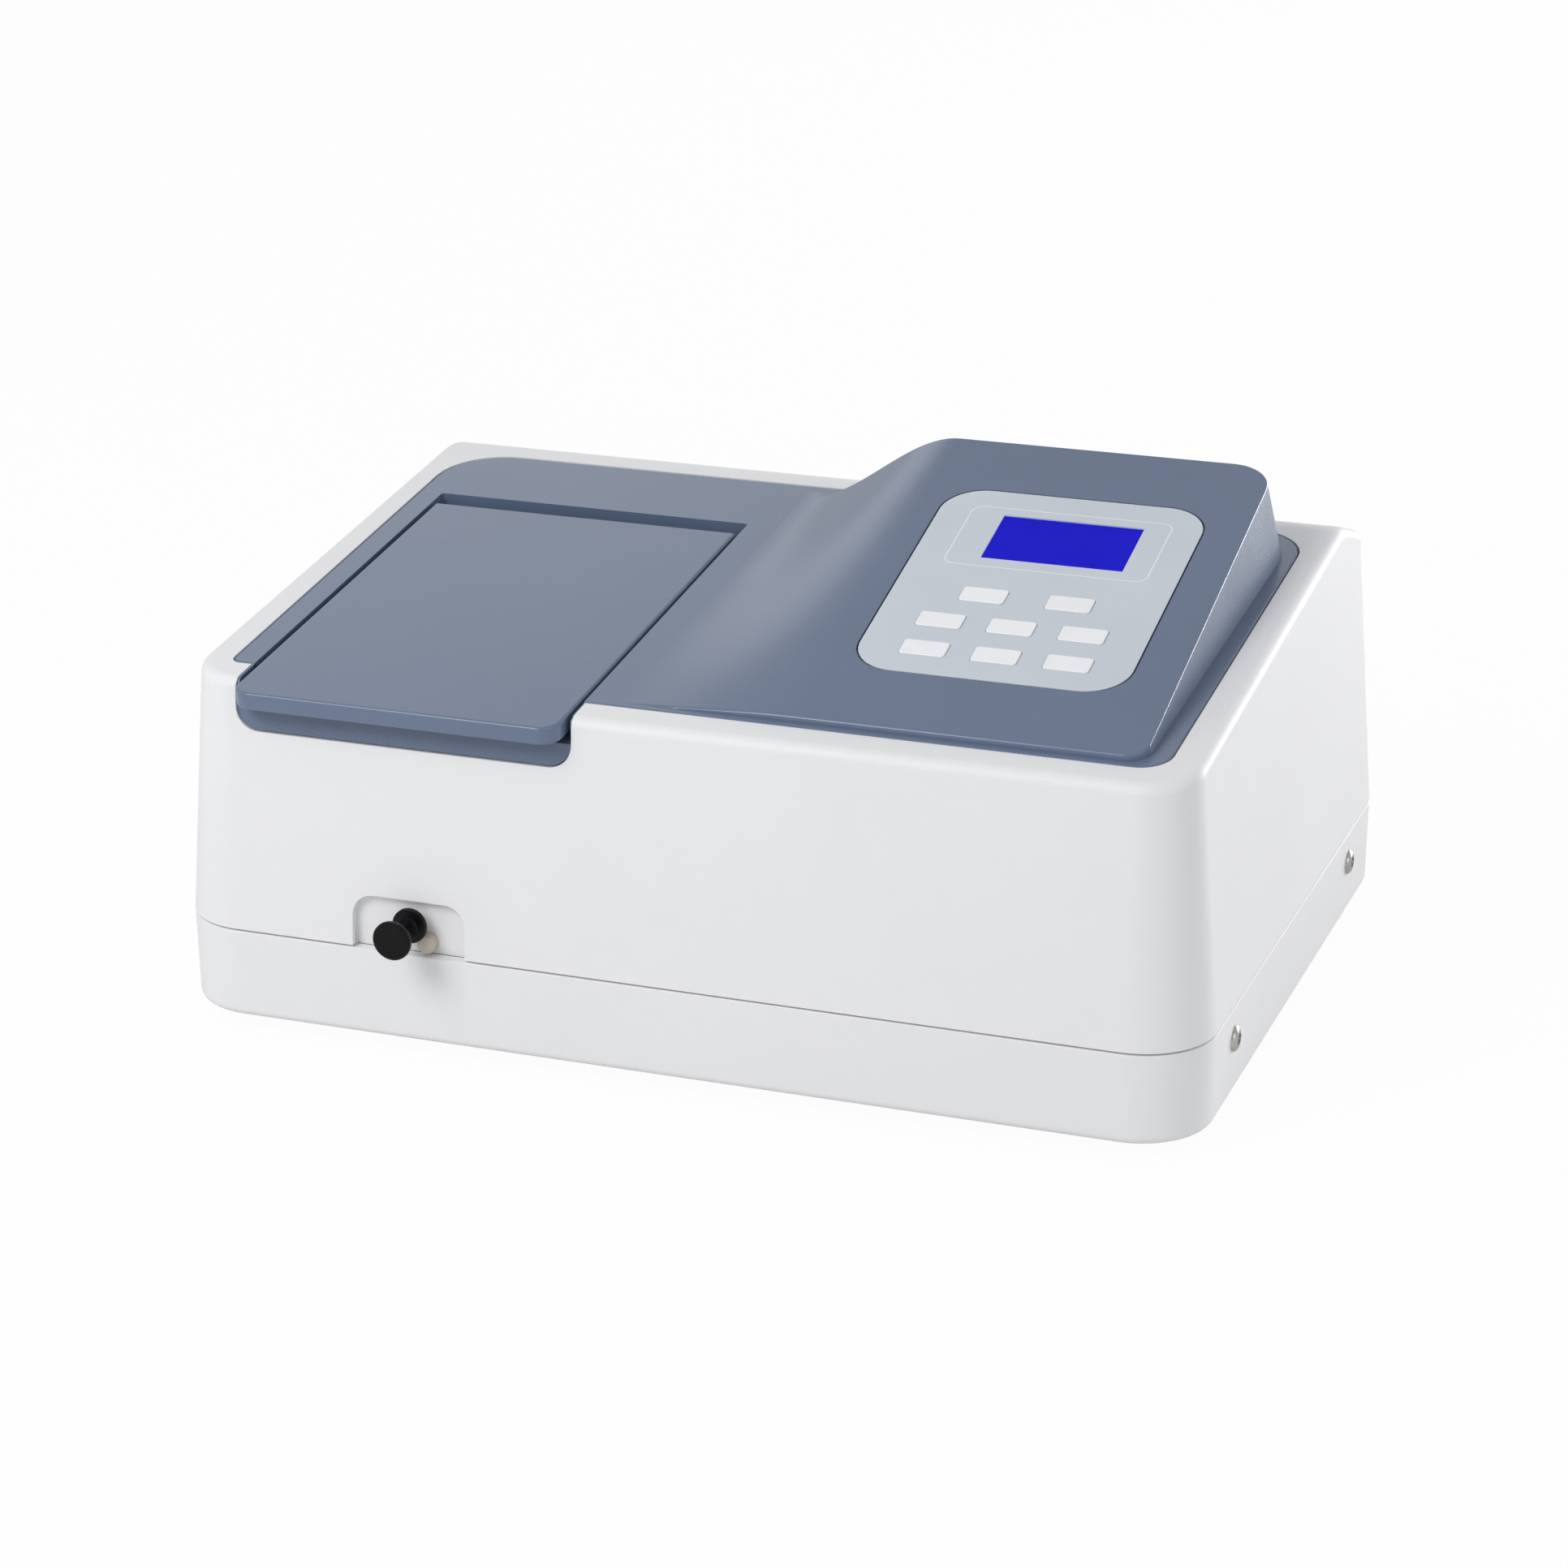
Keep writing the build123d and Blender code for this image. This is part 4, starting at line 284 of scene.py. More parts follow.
def moulded(name, colour, roughness=0.42, grain=0.7, depth=0.012, mottle=0.035, clouds=60, gloss=0.5):
    """Moulded plastic: a spark-eroded skin with faint flow clouds, dust and uneven sheen."""
    material, wire, shader = new_material(name)
    place_of = wire.node("TexCoord", out=3)
    cloud = wire.node("TexNoise", Vector=place_of, Scale=1000 / clouds, Detail=4.0, Roughness=0.55)
    flow = wire.node("TexNoise", Vector=place_of, Scale=1000 / (clouds / 7), Detail=3.0)
    skin = wire.node("TexNoise", Vector=place_of, Scale=1000 / grain, Detail=3.0, Roughness=0.6)
    pits = wire.node("TexVoronoi", {"feature": "F1"}, Vector=place_of, Scale=1000 / (grain * 1.6))
    tone = (cloud - 0.5) * 1.6 + (flow - 0.5) * 0.6 + (skin - 0.5) * 0.5 + 0.5
    dark = [max(0.0, c * (1 - mottle * 2.2)) for c in colour[:3]]
    light = [min(1.0, c * (1 + mottle * 1.6)) for c in colour[:3]]
    shade = blend_colours(tone, (*dark, 1), (*light, 1))
    height = skin * 0.7 + pits * 0.3
    bump = wire.node("Bump", Strength=0.35, Distance=depth * MM, Height=height)
    sheen = (cloud - 0.5) * 0.16 + (skin - 0.5) * 0.1 + roughness
    feed(material, shader, Base_Color=shade, Roughness=sheen, Normal=bump)
    return feed(material, shader, Specular_IOR_Level=gloss)


def finish(piece, material, body, slot, *stands_for, frame_matrix=None, angle=30):
    """Settles a piece in the row frame, smooths it, paints it and hangs it on its body."""
    place(piece, BASE @ (frame_matrix or Matrix.Identity(4)))
    bpy.ops.object.shade_smooth_by_angle(angle=radians(angle))
    change(piece, "WEIGHTED_NORMAL", keep_sharp=True)
    piece.data.materials.clear()
    piece.data.materials.append(material)
    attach(piece, body)
    if stands_for:
        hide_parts(*stands_for)


def draft(piece, low, high, lean, corner):
    """Leans the walls of an upright rounded box inwards, corner by corner."""
    drawn_in = (high - low) * tan(lean)
    for side in (-1, 1):
        for end in (-1, 1):
            resize(
                piece,
                lambda v: v.co.z > (high - 1) * MM and v.co.x * side > 0 and v.co.y * end > 0,
                (1 - drawn_in / corner, 1 - drawn_in / corner, 1),
                (side * (case_half[0] - corner), end * (case_half[1] - corner), high),
            )


white_shell = moulded(
    "white_case_plastic", linear(238, 238, 239), roughness=0.5, mottle=0.006, clouds=90, gloss=0.4
)

shell = block("case_shell", span(case_half[0]), span(case_half[1]), (case_low, shell_high))
round_edges(shell, upright, case_corner, 14)
draft(shell, case_low, shell_high, wall_lean, case_corner)
cut(shell, (0, 0, top_height(0)), (0, -sin(slope), cos(slope)))
cut(shell, (0, ridge_y, top_height(ridge_y)), (0, sin(back_slope), cos(back_slope)))
round_edges(shell, lambda e: crosswise(e) and abs(middle(e).y - ridge_y) < 1, ridge_radius, 8)


def at_rim(edge):
    """True for an edge between the top's faces and the walls."""
    rises = sorted(face.normal.z for face in edge.link_faces)
    return len(rises) == 2 and rises[0] < 0.5 and rises[1] > 0.85


round_edges(shell, at_rim, rim_radius, 6)
pick(shell, "FACE", lambda face: face.normal.z < -0.9)
bpy.ops.mesh.delete(type="FACE")
leave()
change(shell, "SOLIDIFY", thickness=case_wall * MM, offset=-1, use_even_offset=True)

backing_depths = (pocket_floor - 1.4, pocket_floor + case_wall)
backing_heights = (tray_top + 0.15, pocket_high + case_wall)
backing = block("backing", grown(pocket_sides, case_wall), backing_depths, backing_heights)
carve(shell, backing, "UNION")
pocket = block("pocket", pocket_sides, (-190, pocket_floor), (30, pocket_high))
round_edges(pocket, lambda e: fore_aft(e) and middle(e).z > 60, 10, 8)
carve(shell, pocket)

window_frame = block(
    "window_frame",
    grown(window_sides, window_border),
    (168.5, case_half[1]),
    grown(window_heights, window_border),
)
cut(window_frame, (0, case_half[1] - 1.2, case_low), (0, cos(wall_lean), sin(wall_lean)))
carve(shell, window_frame, "UNION")
window = block("window", window_sides, (160, 190), window_heights)
round_edges(window, fore_aft, 3, 4)
carve(shell, window)


def cover_plan(name, growth, low, high):
    """A slab with the cover's outline, in the sloping top's frame, grown by a gap."""
    ends = grown((cover_front * along, cover_back * along), growth)
    side = cover_half + growth
    slab = block(name, span(side), ends, (low, high))
    for left_right, front_back, radius in cover_corners:
        corner = corner_at(left_right * side, ends[front_back > 0])
        round_edges(slab, corner, radius + growth, 8)
    return slab


carve(shell, place(cover_plan("seat", cover_gap, -6, 30), ON_TOP))
notch = block("notch", grown(apron_sides, apron_gap), (-200, cover_front), (apron_low - apron_gap, 190))
round_edges(notch, lambda e: fore_aft(e) and middle(e).z < apron_low + 3, 11, 8)
carve(shell, notch)
finish(shell, white_shell, "case", "case_white", "upper_case")


# Base tray: the shallow white ABS moulding that the upper case closes on, with a thin tongue
# inside the joint, a rounded lower edge and a row of vent slots under the power supply.
tray_draft = 0.5
tray_edge = 4
vent_half, vent_pitch, vent_middle, vent_ends = 2, 12, 172, (41, 111)
tongue_inset, tongue_wall, tongue_heights = 3.6, 1.4, (39.5, 46.1)


def join(piece, *others):
    """Makes several meshes one piece."""
    only(piece)
    for other in others:
        other.select_set(True)
    bpy.ops.object.join()
    return piece


def on_outer_rim(edge):
    """True for the tray's upper edge, on its outer side."""
    walls = [face for face in edge.link_faces if face.normal.z < 0.5]
    outward = [face.normal.dot(face.calc_center_median() * Vector((1, 1, 0))) > 0 for face in walls]
    return abs(middle(edge).z - tray_top) < 0.1 and any(outward)


tray = block("base_tray_shell", span(case_half[0]), span(case_half[1]), (0, tray_top))
round_edges(tray, upright, case_corner, 14)
drawn_in = [(half - tray_draft) / half for half in case_half]
resize(tray, lambda v: v.co.z < MM, (*drawn_in, 1), (0, 0, 0))
round_edges(tray, lambda e: middle(e).z < 0.1, tray_edge, 5)
pick(tray, "FACE", lambda face: face.normal.z > 0.9)
bpy.ops.mesh.inset(thickness=5 * MM)
floor_drop = (0, 0, (case_wall - tray_top) * MM)
bpy.ops.mesh.extrude_region_move(TRANSFORM_OT_translate={"value": floor_drop})
leave()
for step in range(-3, 4):
    vent = block("vent", span(vent_half, vent_middle + step * vent_pitch), vent_ends, (-5, 8))
    round_edges(vent, upright, vent_half - 0.1, 4)
    carve(tray, vent)
round_edges(tray, on_outer_rim, 0.8, 3)
tongue_halves = [half - tongue_inset for half in case_half]
tongue = block("tongue", span(tongue_halves[0]), span(tongue_halves[1]), tongue_heights)
round_edges(tongue, upright, case_corner - tongue_inset, 14)
pick(tongue, "FACE", lambda face: abs(face.normal.z) > 0.9)
bpy.ops.mesh.delete(type="FACE")
leave()
change(tongue, "SOLIDIFY", thickness=tongue_wall * MM, offset=-1)
carve(tongue, block("gap_behind_pocket", (-155, -88), (-190, -160), (tray_top + 0.1, 60)))
finish(join(tray, tongue), white_shell, "case", "case_white", "base_tray")


# Rubber feet: four round feet of black rubber, each hollowed underneath to stand on a ring.
foot_places = (185, 125)
foot_profile = [(0.5, -6.6), (7.5, -6.6), (7.9, -7.0), (8.2, -8), (10.6, -8), (11.2, -7.4), (12, 0)]


def turned(name, profile, sides=48):
    """A turned piece about Z: a disc, extruded and scaled ring by ring from (radius, height)."""
    bpy.ops.object.select_all(action="DESELECT")
    bpy.ops.mesh.primitive_circle_add(vertices=sides, radius=profile[0][0] * MM, fill_type="NGON")
    piece = bpy.context.object
    piece.name = piece.data.name = name
    piece.location.z = profile[0][1] * MM
    place(piece, Matrix.Identity(4))
    bpy.ops.object.mode_set(mode="EDIT")
    bpy.ops.mesh.select_mode(type="FACE")
    bpy.ops.mesh.select_all(action="SELECT")
    bpy.ops.mesh.flip_normals()
    for (radius, height), (next_radius, next_height) in zip(profile, profile[1:]):
        rise = (0, 0, (next_height - height) * MM)
        bpy.ops.mesh.extrude_region_move(TRANSFORM_OT_translate={"value": rise})
        ratio = next_radius / radius
        bpy.ops.transform.resize(value=(ratio, ratio, 1), center_override=(0, 0, next_height * MM))
    leave()
    pick(piece, "FACE", lambda face: True)
    bpy.ops.mesh.normals_make_consistent(inside=False)
    leave()
    return piece


def copy_of(piece, name, matrix):
    """A copy with its own mesh, moved by a matrix."""
    twin = piece.copy()
    twin.data = piece.data.copy()
    twin.name = twin.data.name = name
    bpy.context.collection.objects.link(twin)
    return place(twin, matrix)


def joined(name, pieces):
    """Makes a list of meshes one piece and names it."""
    piece = join(*pieces)
    piece.name = piece.data.name = name
    return piece


def rubbery(name, colour, grain=0.35):
    """Black rubber: matt, patchily dusty, finely grained."""
    return moulded(name, colour, roughness=0.78, grain=grain, depth=0.03, mottle=0.16, clouds=9)


foot = turned("foot", foot_profile)
feet = []
for side in span(foot_places[0]):
    for end in span(foot_places[1]):
        spot = Matrix.Translation(Vector((side, end, 0)) * MM)
        feet.append(copy_of(foot, f"foot_{len(feet)}", spot))
bpy.data.objects.remove(foot)
foot_rubber = rubbery("foot_rubber", linear(34, 34, 36))
finish(joined("feet", feet), foot_rubber, "case", "rubber_black", "rubber_feet")


# Side screws: domed steel screws with a round socket, nickel-plated, two on each side. Each
# goes through the tray's wall into a tab of the upper case.
screw_seat, screw_ends, screw_height = 239.88, (-114.9, 106.3), 27.4
screw_profile = [
    (0.4, 0.9), (2.2, 0.9), (2.4, 1.0), (2.5, 2.3), (2.8, 2.4),
    (4.0, 2.15), (5.0, 1.6), (5.7, 0.9), (6, 0.25), (6, -0.1),
]


def plated(name, colour, roughness=0.22, streak=(40, 40, 900), wear=0.12):
    """Turned or drawn metal: fine lines one way, faint stains and small scratches."""
    material, wire, shader = new_material(name)
    place_of = wire.node("TexCoord", out=3)
    stretched = wire.node("Mapping", Vector=place_of, Scale=streak)
    lines = wire.node("TexNoise", Vector=stretched, Scale=20.0, Detail=5.0, Roughness=0.7)
    stain = wire.node("TexNoise", Vector=place_of, Scale=140.0, Detail=5.0)
    waves = {"bands_direction": "DIAGONAL"}
    scratch = wire.node("TexWave", waves, Vector=place_of, Scale=90.0, Distortion=14.0, Detail=4.0)
    tone = (lines - 0.5) * 1.3 + (stain - 0.5) + 0.5
    dark = [c * (1 - wear * 2) for c in colour[:3]]
    shade = blend_colours(tone, (*dark, 1), colour)
    bump = wire.node("Bump", Strength=0.25, Distance=0.02 * MM, Height=lines)
    rough = (stain - 0.5) * 0.25 + (scratch > 0.93) * 0.1 + (lines - 0.5) * 0.15 + roughness
    return feed(material, shader, Base_Color=shade, Metallic=1.0, Roughness=rough, Normal=bump)


nickel = plated("nickel_plate", linear(205, 203, 198))
screw = turned("screw", screw_profile)
screws = []
for side in (-1, 1):
    turn = Matrix.Rotation(side * pi / 2, 4, "Y")
    for end in screw_ends:
        spot = Matrix.Translation(Vector((side * screw_seat, end, screw_height)) * MM)
        screws.append(copy_of(screw, f"screw_{len(screws)}", spot @ turn))
bpy.data.objects.remove(screw)
finish(joined("side_screw_heads", screws), nickel, "case", "steel", "side_screws")


# Top cover: blue-grey ABS moulding let into the case. It carries the recess for the lid, with an
# apron that turns down over the front, and the console, whose left flank sweeps up in an S.
recess = (-204, -44.8)
recess_front, recess_back = cover_front * along, 51.5 * along
recess_depth, tub_wall = 12, 3
mouth_sides, mouth_ends = (-197.5, -52.5), (-147.5, 31.5)
console_left, console_crest, console_right = -30, 50, 209.6
console_front, console_back = -150.5 * along, 97 * along
console_front_radius, console_back_radius, console_taper = 10, 27, 3.3
console_slope, console_lean = radians(14.37), radians(11)
console_start, console_riser, console_foot, lean_top = 2.3, 0.6, -1.5, 45
console_edge, eased_length = 1.3, 10
flank_columns, flank_rows = 24, range(-130, 96, 18)
seat_sides, seat_ends, seat_depth, seat_corner = (59.1, 184.7), (-112.9, 44.5), 2.0, 20.5
display_sides, display_ends, display_lap = (91.2, 157.4), (-14.35, 23.55), 2
key_middle, key_row, key_rows_apart = 122.2, -45.7, 23.5
key_pair_pitch, key_pitch = 39.7, 32.6
key_places = [(key_middle + column * key_pair_pitch, key_row) for column in (-0.5, 0.5)]
for row in (1, 2):
    for column in (-1, 0, 1):
        key_places.append((key_middle + column * key_pitch, key_row - row * key_rows_apart))
apron_wall, apron_bend, apron_proud = 3, 151, 1
cheek_wall, cheek_front = 0.9, -170.6 * along
hinge_y, hinge_drop, ear_gap, ear_width = 44.3, 6.5, 7.3, 4
lid_sides = (-202, -46.8)
hinge_places = (lid_sides[0] + 16, lid_sides[1] - 16)
pin_profile = [(0.5, 0), (2.3, 0), (2.6, 0.3), (2.6, 3.7), (2.3, 4), (0.5, 4)]
blue_grey = moulded(
    "blue_grey_cover_plastic", linear(104, 119, 144), roughness=0.25, depth=0.003, mottle=0.015, clouds=90
)

console_start_height = top_height(cover_front) + console_start
console_height = console_start_height - cover_front * tan(console_slope)
ON_CONSOLE = Matrix.Translation((0, 0, console_height * MM)) @ Matrix.Rotation(console_slope, 4, "X")
CONSOLE_ON_TOP = ON_TOP.inverted() @ ON_CONSOLE
rise = tan(console_slope - slope)
front_rise = (ON_TOP.inverted() @ Vector((0, cover_front * MM, console_start_height * MM))) / MM


def console_rise(y):
    """Height of the console's face above the cover, square to the cover, in millimetres."""
    return front_rise.z + (y - front_rise.y) * rise


def key_hole(x, y):
    """A tool that cuts one key's hole."""
    hole = block("key_hole", span(10.7, x), span(6, y), (-8, 10))
    return round_edges(hole, upright, 1.9, 4)


plate = cover_plan("cover_plate", 0, -3, 0)
round_edges(plate, lambda e: middle(e).z > -0.1, 1.0, 4)
tub_ends = (recess_front, recess_back + tub_wall)
tub = block("tub", grown(recess, tub_wall), tub_ends, (-recess_depth - tub_wall, -0.8))
carve(plate, tub, "UNION")
hollow = block("hollow", recess, (recess_front - 20, recess_back), (-recess_depth, 60))
round_edges(hollow, lambda e: upright(e) and middle(e).y > 0, 1.5, 4)
carve(plate, hollow)
mouth = block("mouth", mouth_sides, mouth_ends, (80, 240))
round_edges(mouth, upright, 3, 4)
carve(plate, place(mouth, ON_TOP.inverted()))

console_sides, console_ends = (console_left, console_right), (console_front, console_back)
console = block("cover_console", console_sides, console_ends, (console_foot, lean_top))
pick(console, "VERT", lambda v: middle(v).x > 0 and middle(v).y < 0)
bpy.ops.transform.translate(value=(-console_taper * MM, 0, 0))
leave()
front_right = (console_right - console_taper, console_front)
back_right = (console_right, console_back)
round_edges(console, corner_at(*front_right), console_front_radius, 8)
round_edges(console, corner_at(*back_right), console_back_radius, 14)
cut(console, (0, 0, console_riser), (0, 0, 1), keep_low=False)
drawn_in = (lean_top - console_riser) * tan(console_lean)
for (x, y), radius, inward in (
    (front_right, console_front_radius, 1),
    (back_right, console_back_radius, -1),
):
    resize(
        console,
        lambda v: middle(v).z > lean_top - 1 and middle(v).x > 0 and middle(v).y * inward < 0,
        (1 - drawn_in / radius, 1 - drawn_in / radius, 1),
        (x - radius, y + inward * radius, lean_top),
    )
for inward in (1, -1):
    pick(
        console,
        "VERT",
        lambda v: middle(v).z > lean_top - 1 and middle(v).x < 0 and middle(v).y * inward < 0,
    )
    bpy.ops.transform.translate(value=(0, inward * drawn_in * MM, 0))
    leave()
cut(console, (0, 0, console_rise(0)), (0, -rise, 1))


def outer_edge(edge):
    """True for an edge of the console's face, apart from its buried left end."""
    rises = sorted(face.normal.z for face in edge.link_faces)
    return len(rises) == 2 and rises[0] < 0.5 and rises[1] > 0.9 and middle(edge).x > console_left + 1


only(console)
bpy.ops.object.mode_set(mode="EDIT")
mesh = bmesh.from_edit_mesh(console.data)
weights = mesh.edges.layers.float.new("bevel_weight_edge")
for edge in filter(outer_edge, mesh.edges):
    past_front = (middle(edge).y - console_front) / eased_length
    edge[weights] = 1 - 0.5 * min(1, max(0, past_front))
leave()
bevel = {"limit_method": "WEIGHT", "use_clamp_overlap": False}
change(console, "BEVEL", width=console_edge * MM, segments=4, **bevel)
for y in flank_rows:
    cut(console, (0, y, 0), (0, 1, 0), keep_low=False)
flank = console_crest - console_left
for step in range(1, flank_columns + 1):
    x = console_left + flank * step / flank_columns
    cut(console, (x, 0, 0), (1, 0, 0), keep_low=False)
for step in range(flank_columns):
    share = step / flank_columns
    x = console_left + flank * share
    swept = share * share * (3 - 2 * share)
    resize(
        console,
        lambda v: abs(middle(v).x - x) < 0.4 and middle(v).z > 0,
        (1, 1, max(swept, 0.0005)),
        (x, 0, 0),
    )
panel_seat = block("panel_seat", seat_sides, seat_ends, (-seat_depth, 60))
round_edges(panel_seat, upright, seat_corner, 10)
carve(console, place(panel_seat, CONSOLE_ON_TOP))
for x, y in key_places:
    carve(console, place(key_hole(x, y), CONSOLE_ON_TOP))
opening_sides, opening_ends = grown(display_sides, display_lap), grown(display_ends, display_lap)
opening = block("display_hole", opening_sides, opening_ends, (-8, 10))
carve(console, place(opening, CONSOLE_ON_TOP))
join(plate, console)
place(plate, ON_TOP)

apron_edge, apron_nose = [
    -case_half[1] + (height - case_low) * tan(wall_lean) + apron_proud for height in (apron_low, apron_bend)
]
nose_height = top_height(top_front) - recess_depth * along
apron_depths = (apron_edge, apron_edge + apron_wall)
apron = block("apron", apron_sides, apron_depths, (apron_low, nose_height))
pick(apron, "VERT", lambda v: middle(v).z > apron_low + 3)
bpy.ops.transform.translate(value=(0, (apron_nose - apron_edge) * MM, 0))
leave()
round_edges(apron, lambda e: fore_aft(e) and middle(e).z < apron_low + 3, 10.5, 8)
shelf_back = cover_front + apron_wall
shelf_heights = (nose_height - apron_wall, nose_height)
shelf = block("shelf", apron_sides, (apron_nose, shelf_back), shelf_heights)
pick(shelf, "VERT", lambda v: middle(v).y > -160)
shelf_rise = top_height(shelf_back) - recess_depth * along - nose_height
bpy.ops.transform.translate(value=(0, 0, shelf_rise * MM))
leave()
carve(apron, shelf, "UNION")
nose = Vector((apron_nose, nose_height))
round_edges(apron, lambda e: crosswise(e) and (middle(e).yz - nose).length < 0.8, 1.2, 4)
cheeks = []
for low, high in ((recess[0] - cheek_wall, recess[0]), (recess[1], recess[1] + cheek_wall)):
    cheek = block("cheek", (low, high), (cheek_front, recess_front + 1), (-recess_depth - 1.5, -0.5))
    round_edges(cheek, lambda e: crosswise(e) and middle(e).y < -165 and middle(e).z > -2, 4.6, 6)
    cheeks.append(place(cheek, ON_TOP))
hinge_z = top_height(hinge_y) - hinge_drop * along
ears = []
for x in hinge_places:
    for side in (-1, 1):
        inner = x + side * ear_gap
        ear = turned("ear", pin_profile, 24)
        place(ear, Matrix.Rotation(side * pi / 2, 4, "Y"))
        ears.append(place(ear, Matrix.Translation(Vector((inner, hinge_y, hinge_z)) * MM)))
        ear_sides = sorted((inner, inner + side * ear_width))
        ears.append(block("ear_web", ear_sides, span(2.6, hinge_y), (hinge_z - 6.2, hinge_z)))
cover = joined("cover_with_console", [plate, apron, *cheeks, *ears])
finish(cover, blue_grey, "case", "cover_blue", "top_cover")


# Lid: shallow blue-grey ABS moulding over the sample compartment, skirted all round, with a
# deep lip to lift it by, a rib that closes the compartment, and two lugs on the hinge pins.
lid_front, lid_back = -184.1 * along, 40.1 * along
lid_depth, lid_wall, lid_plate = 8.1, 2.5, 3
rib_ends, rib_heights = (-153 * along, -150 * along), (-7.9, -2.5)
lug_profile = [(0.5, -7), (2.3, -7), (2.6, -6.7), (2.6, 6.7), (2.3, 7), (0.5, 7)]


def on_skirt(edge):
    """True for the lower outer edge of the lid's skirt."""
    walls = [face for face in edge.link_faces if abs(face.normal.z) < 0.5]
    outer = [abs(max(v.co.z for v in face.verts)) < 0.002 for face in walls]
    return abs(middle(edge).z + lid_depth) < 0.05 and any(outer)


lid = block("lid_shell", lid_sides, (lid_front, lid_back), (-lid_depth, 0))
for x in lid_sides:
    round_edges(lid, corner_at(x, lid_front), 9, 8)
    round_edges(lid, corner_at(x, lid_back), 1, 3)
pick(lid, "FACE", lambda face: face.normal.z < -0.9)
bpy.ops.mesh.inset(thickness=lid_wall * MM)
hollow_rise = (0, 0, (lid_depth - lid_plate) * MM)
bpy.ops.mesh.extrude_region_move(TRANSFORM_OT_translate={"value": hollow_rise})
leave()
round_edges(lid, lambda e: middle(e).z > -0.1 and abs(direction(e).z) < 0.5, 1.4, 5)
round_edges(lid, on_skirt, 0.5, 3)
rib = block("rib", grown(lid_sides, -2.4), rib_ends, rib_heights)
lugs = []
for x in hinge_places:
    lug = turned("lug", lug_profile, 24)
    place(lug, Matrix.Rotation(pi / 2, 4, "Y"))
    lugs.append(place(lug, Matrix.Translation(Vector((x, hinge_y, hinge_z)) * MM)))
    lugs.append(block("arm", span(7, x), (hinge_y - 5.5, hinge_y), span(2.6, hinge_z)))
join(lid, rib)
place(lid, ON_TOP)
join(lid, *lugs)
finish(lid, blue_grey, "lid", "cover_blue", "lid")


# Control panel: a plate of grey printed polycarbonate film let into the console, its corners
# well rounded, with a fine white line round the display and a soft pearl sheen.
film_sides, film_ends, film_heights = (59.9, 183.9), (-112.1, 43.7), (-0.5, 0.1)
film_corner, carrier_inset, carrier_heights = 20, 1.5, (-2, -0.4)
line_centre, line_half, line_corner, line_width = (122.5, 4.0), (47.2, 25.4), 5.0, 0.22


def panel_film():
    """Printed polycarbonate film: pearl grey, a white outline, faint weave under the gloss."""
    material, wire, shader = new_material("panel_film")
    place_of = wire.node("TexCoord", out=3)
    origin = (BASE @ ON_CONSOLE).translation
    shifted = wire.node("VectorMath", {"operation": "SUBTRACT"}, i0=place_of, i1=origin)
    flat = wire.node("Mapping", Vector=shifted, Rotation=(-console_slope, 0, 0))
    x = wire.node("SeparateXYZ", Vector=flat)
    y = wire.node("SeparateXYZ", out=1, Vector=flat)
    across = (x * 1000 - line_centre[0]).math("ABSOLUTE") - (line_half[0] - line_corner)
    down = (y * 1000 - line_centre[1]).math("ABSOLUTE") - (line_half[1] - line_corner)
    squares = [reach.math("MAXIMUM", 0).math("POWER", 2) for reach in (across, down)]
    outside = (squares[0] + squares[1]).math("SQRT")
    inside = across.math("MAXIMUM", down).math("MINIMUM", 0)
    line = (outside + inside - line_corner).math("ABSOLUTE") < line_width
    weave = wire.node("TexNoise", Vector=place_of, Scale=2400.0, Detail=2.0)
    cloud = wire.node("TexNoise", Vector=place_of, Scale=14.0, Detail=4.0)
    tone = (weave - 0.5) * 0.7 + (cloud - 0.5) * 1.4 + 0.5
    grey = blend_colours(tone, linear(204, 211, 219), linear(214, 220, 228))
    shade = blend_colours(line, grey, linear(250, 251, 253))
    bump = wire.node("Bump", Strength=0.3, Distance=0.006 * MM, Height=weave + line * 1.5)
    rough = (weave - 0.5) * 0.12 + (cloud - 0.5) * 0.1 + 0.4
    return feed(material, shader, Base_Color=shade, Roughness=rough, Normal=bump)


film = block("panel_film_plate", film_sides, film_ends, film_heights)
round_edges(film, upright, film_corner, 12)
round_edges(film, lambda e: middle(e).z > 0, 0.2, 3)
carrier_ends = grown(film_ends, -carrier_inset)
carrier = block("film_carrier", grown(film_sides, -carrier_inset), carrier_ends, carrier_heights)
round_edges(carrier, upright, film_corner - carrier_inset, 12)
carve(film, carrier, "UNION")
for x, y in key_places:
    carve(film, key_hole(x, y))
carve(film, block("display_hole", display_sides, display_ends, (-8, 10)))
finish(film, panel_film(), "case", "panel_grey", "control_panel", frame_matrix=ON_CONSOLE)


# Display: a blue liquid-crystal module, lit from behind, under a clear acrylic window that
# lies just below the panel's face.
glass_base, glass_step, glass_rise = -5, -1.6, 1.1
glass_lap, glass_rim = 0.9, 1
frame_sides, frame_ends, frame_heights = (80.2, 168.4), (-17, 26), (-6.6, -5)
pane_gap, pane_heights = 0.1, (-0.45, 0)


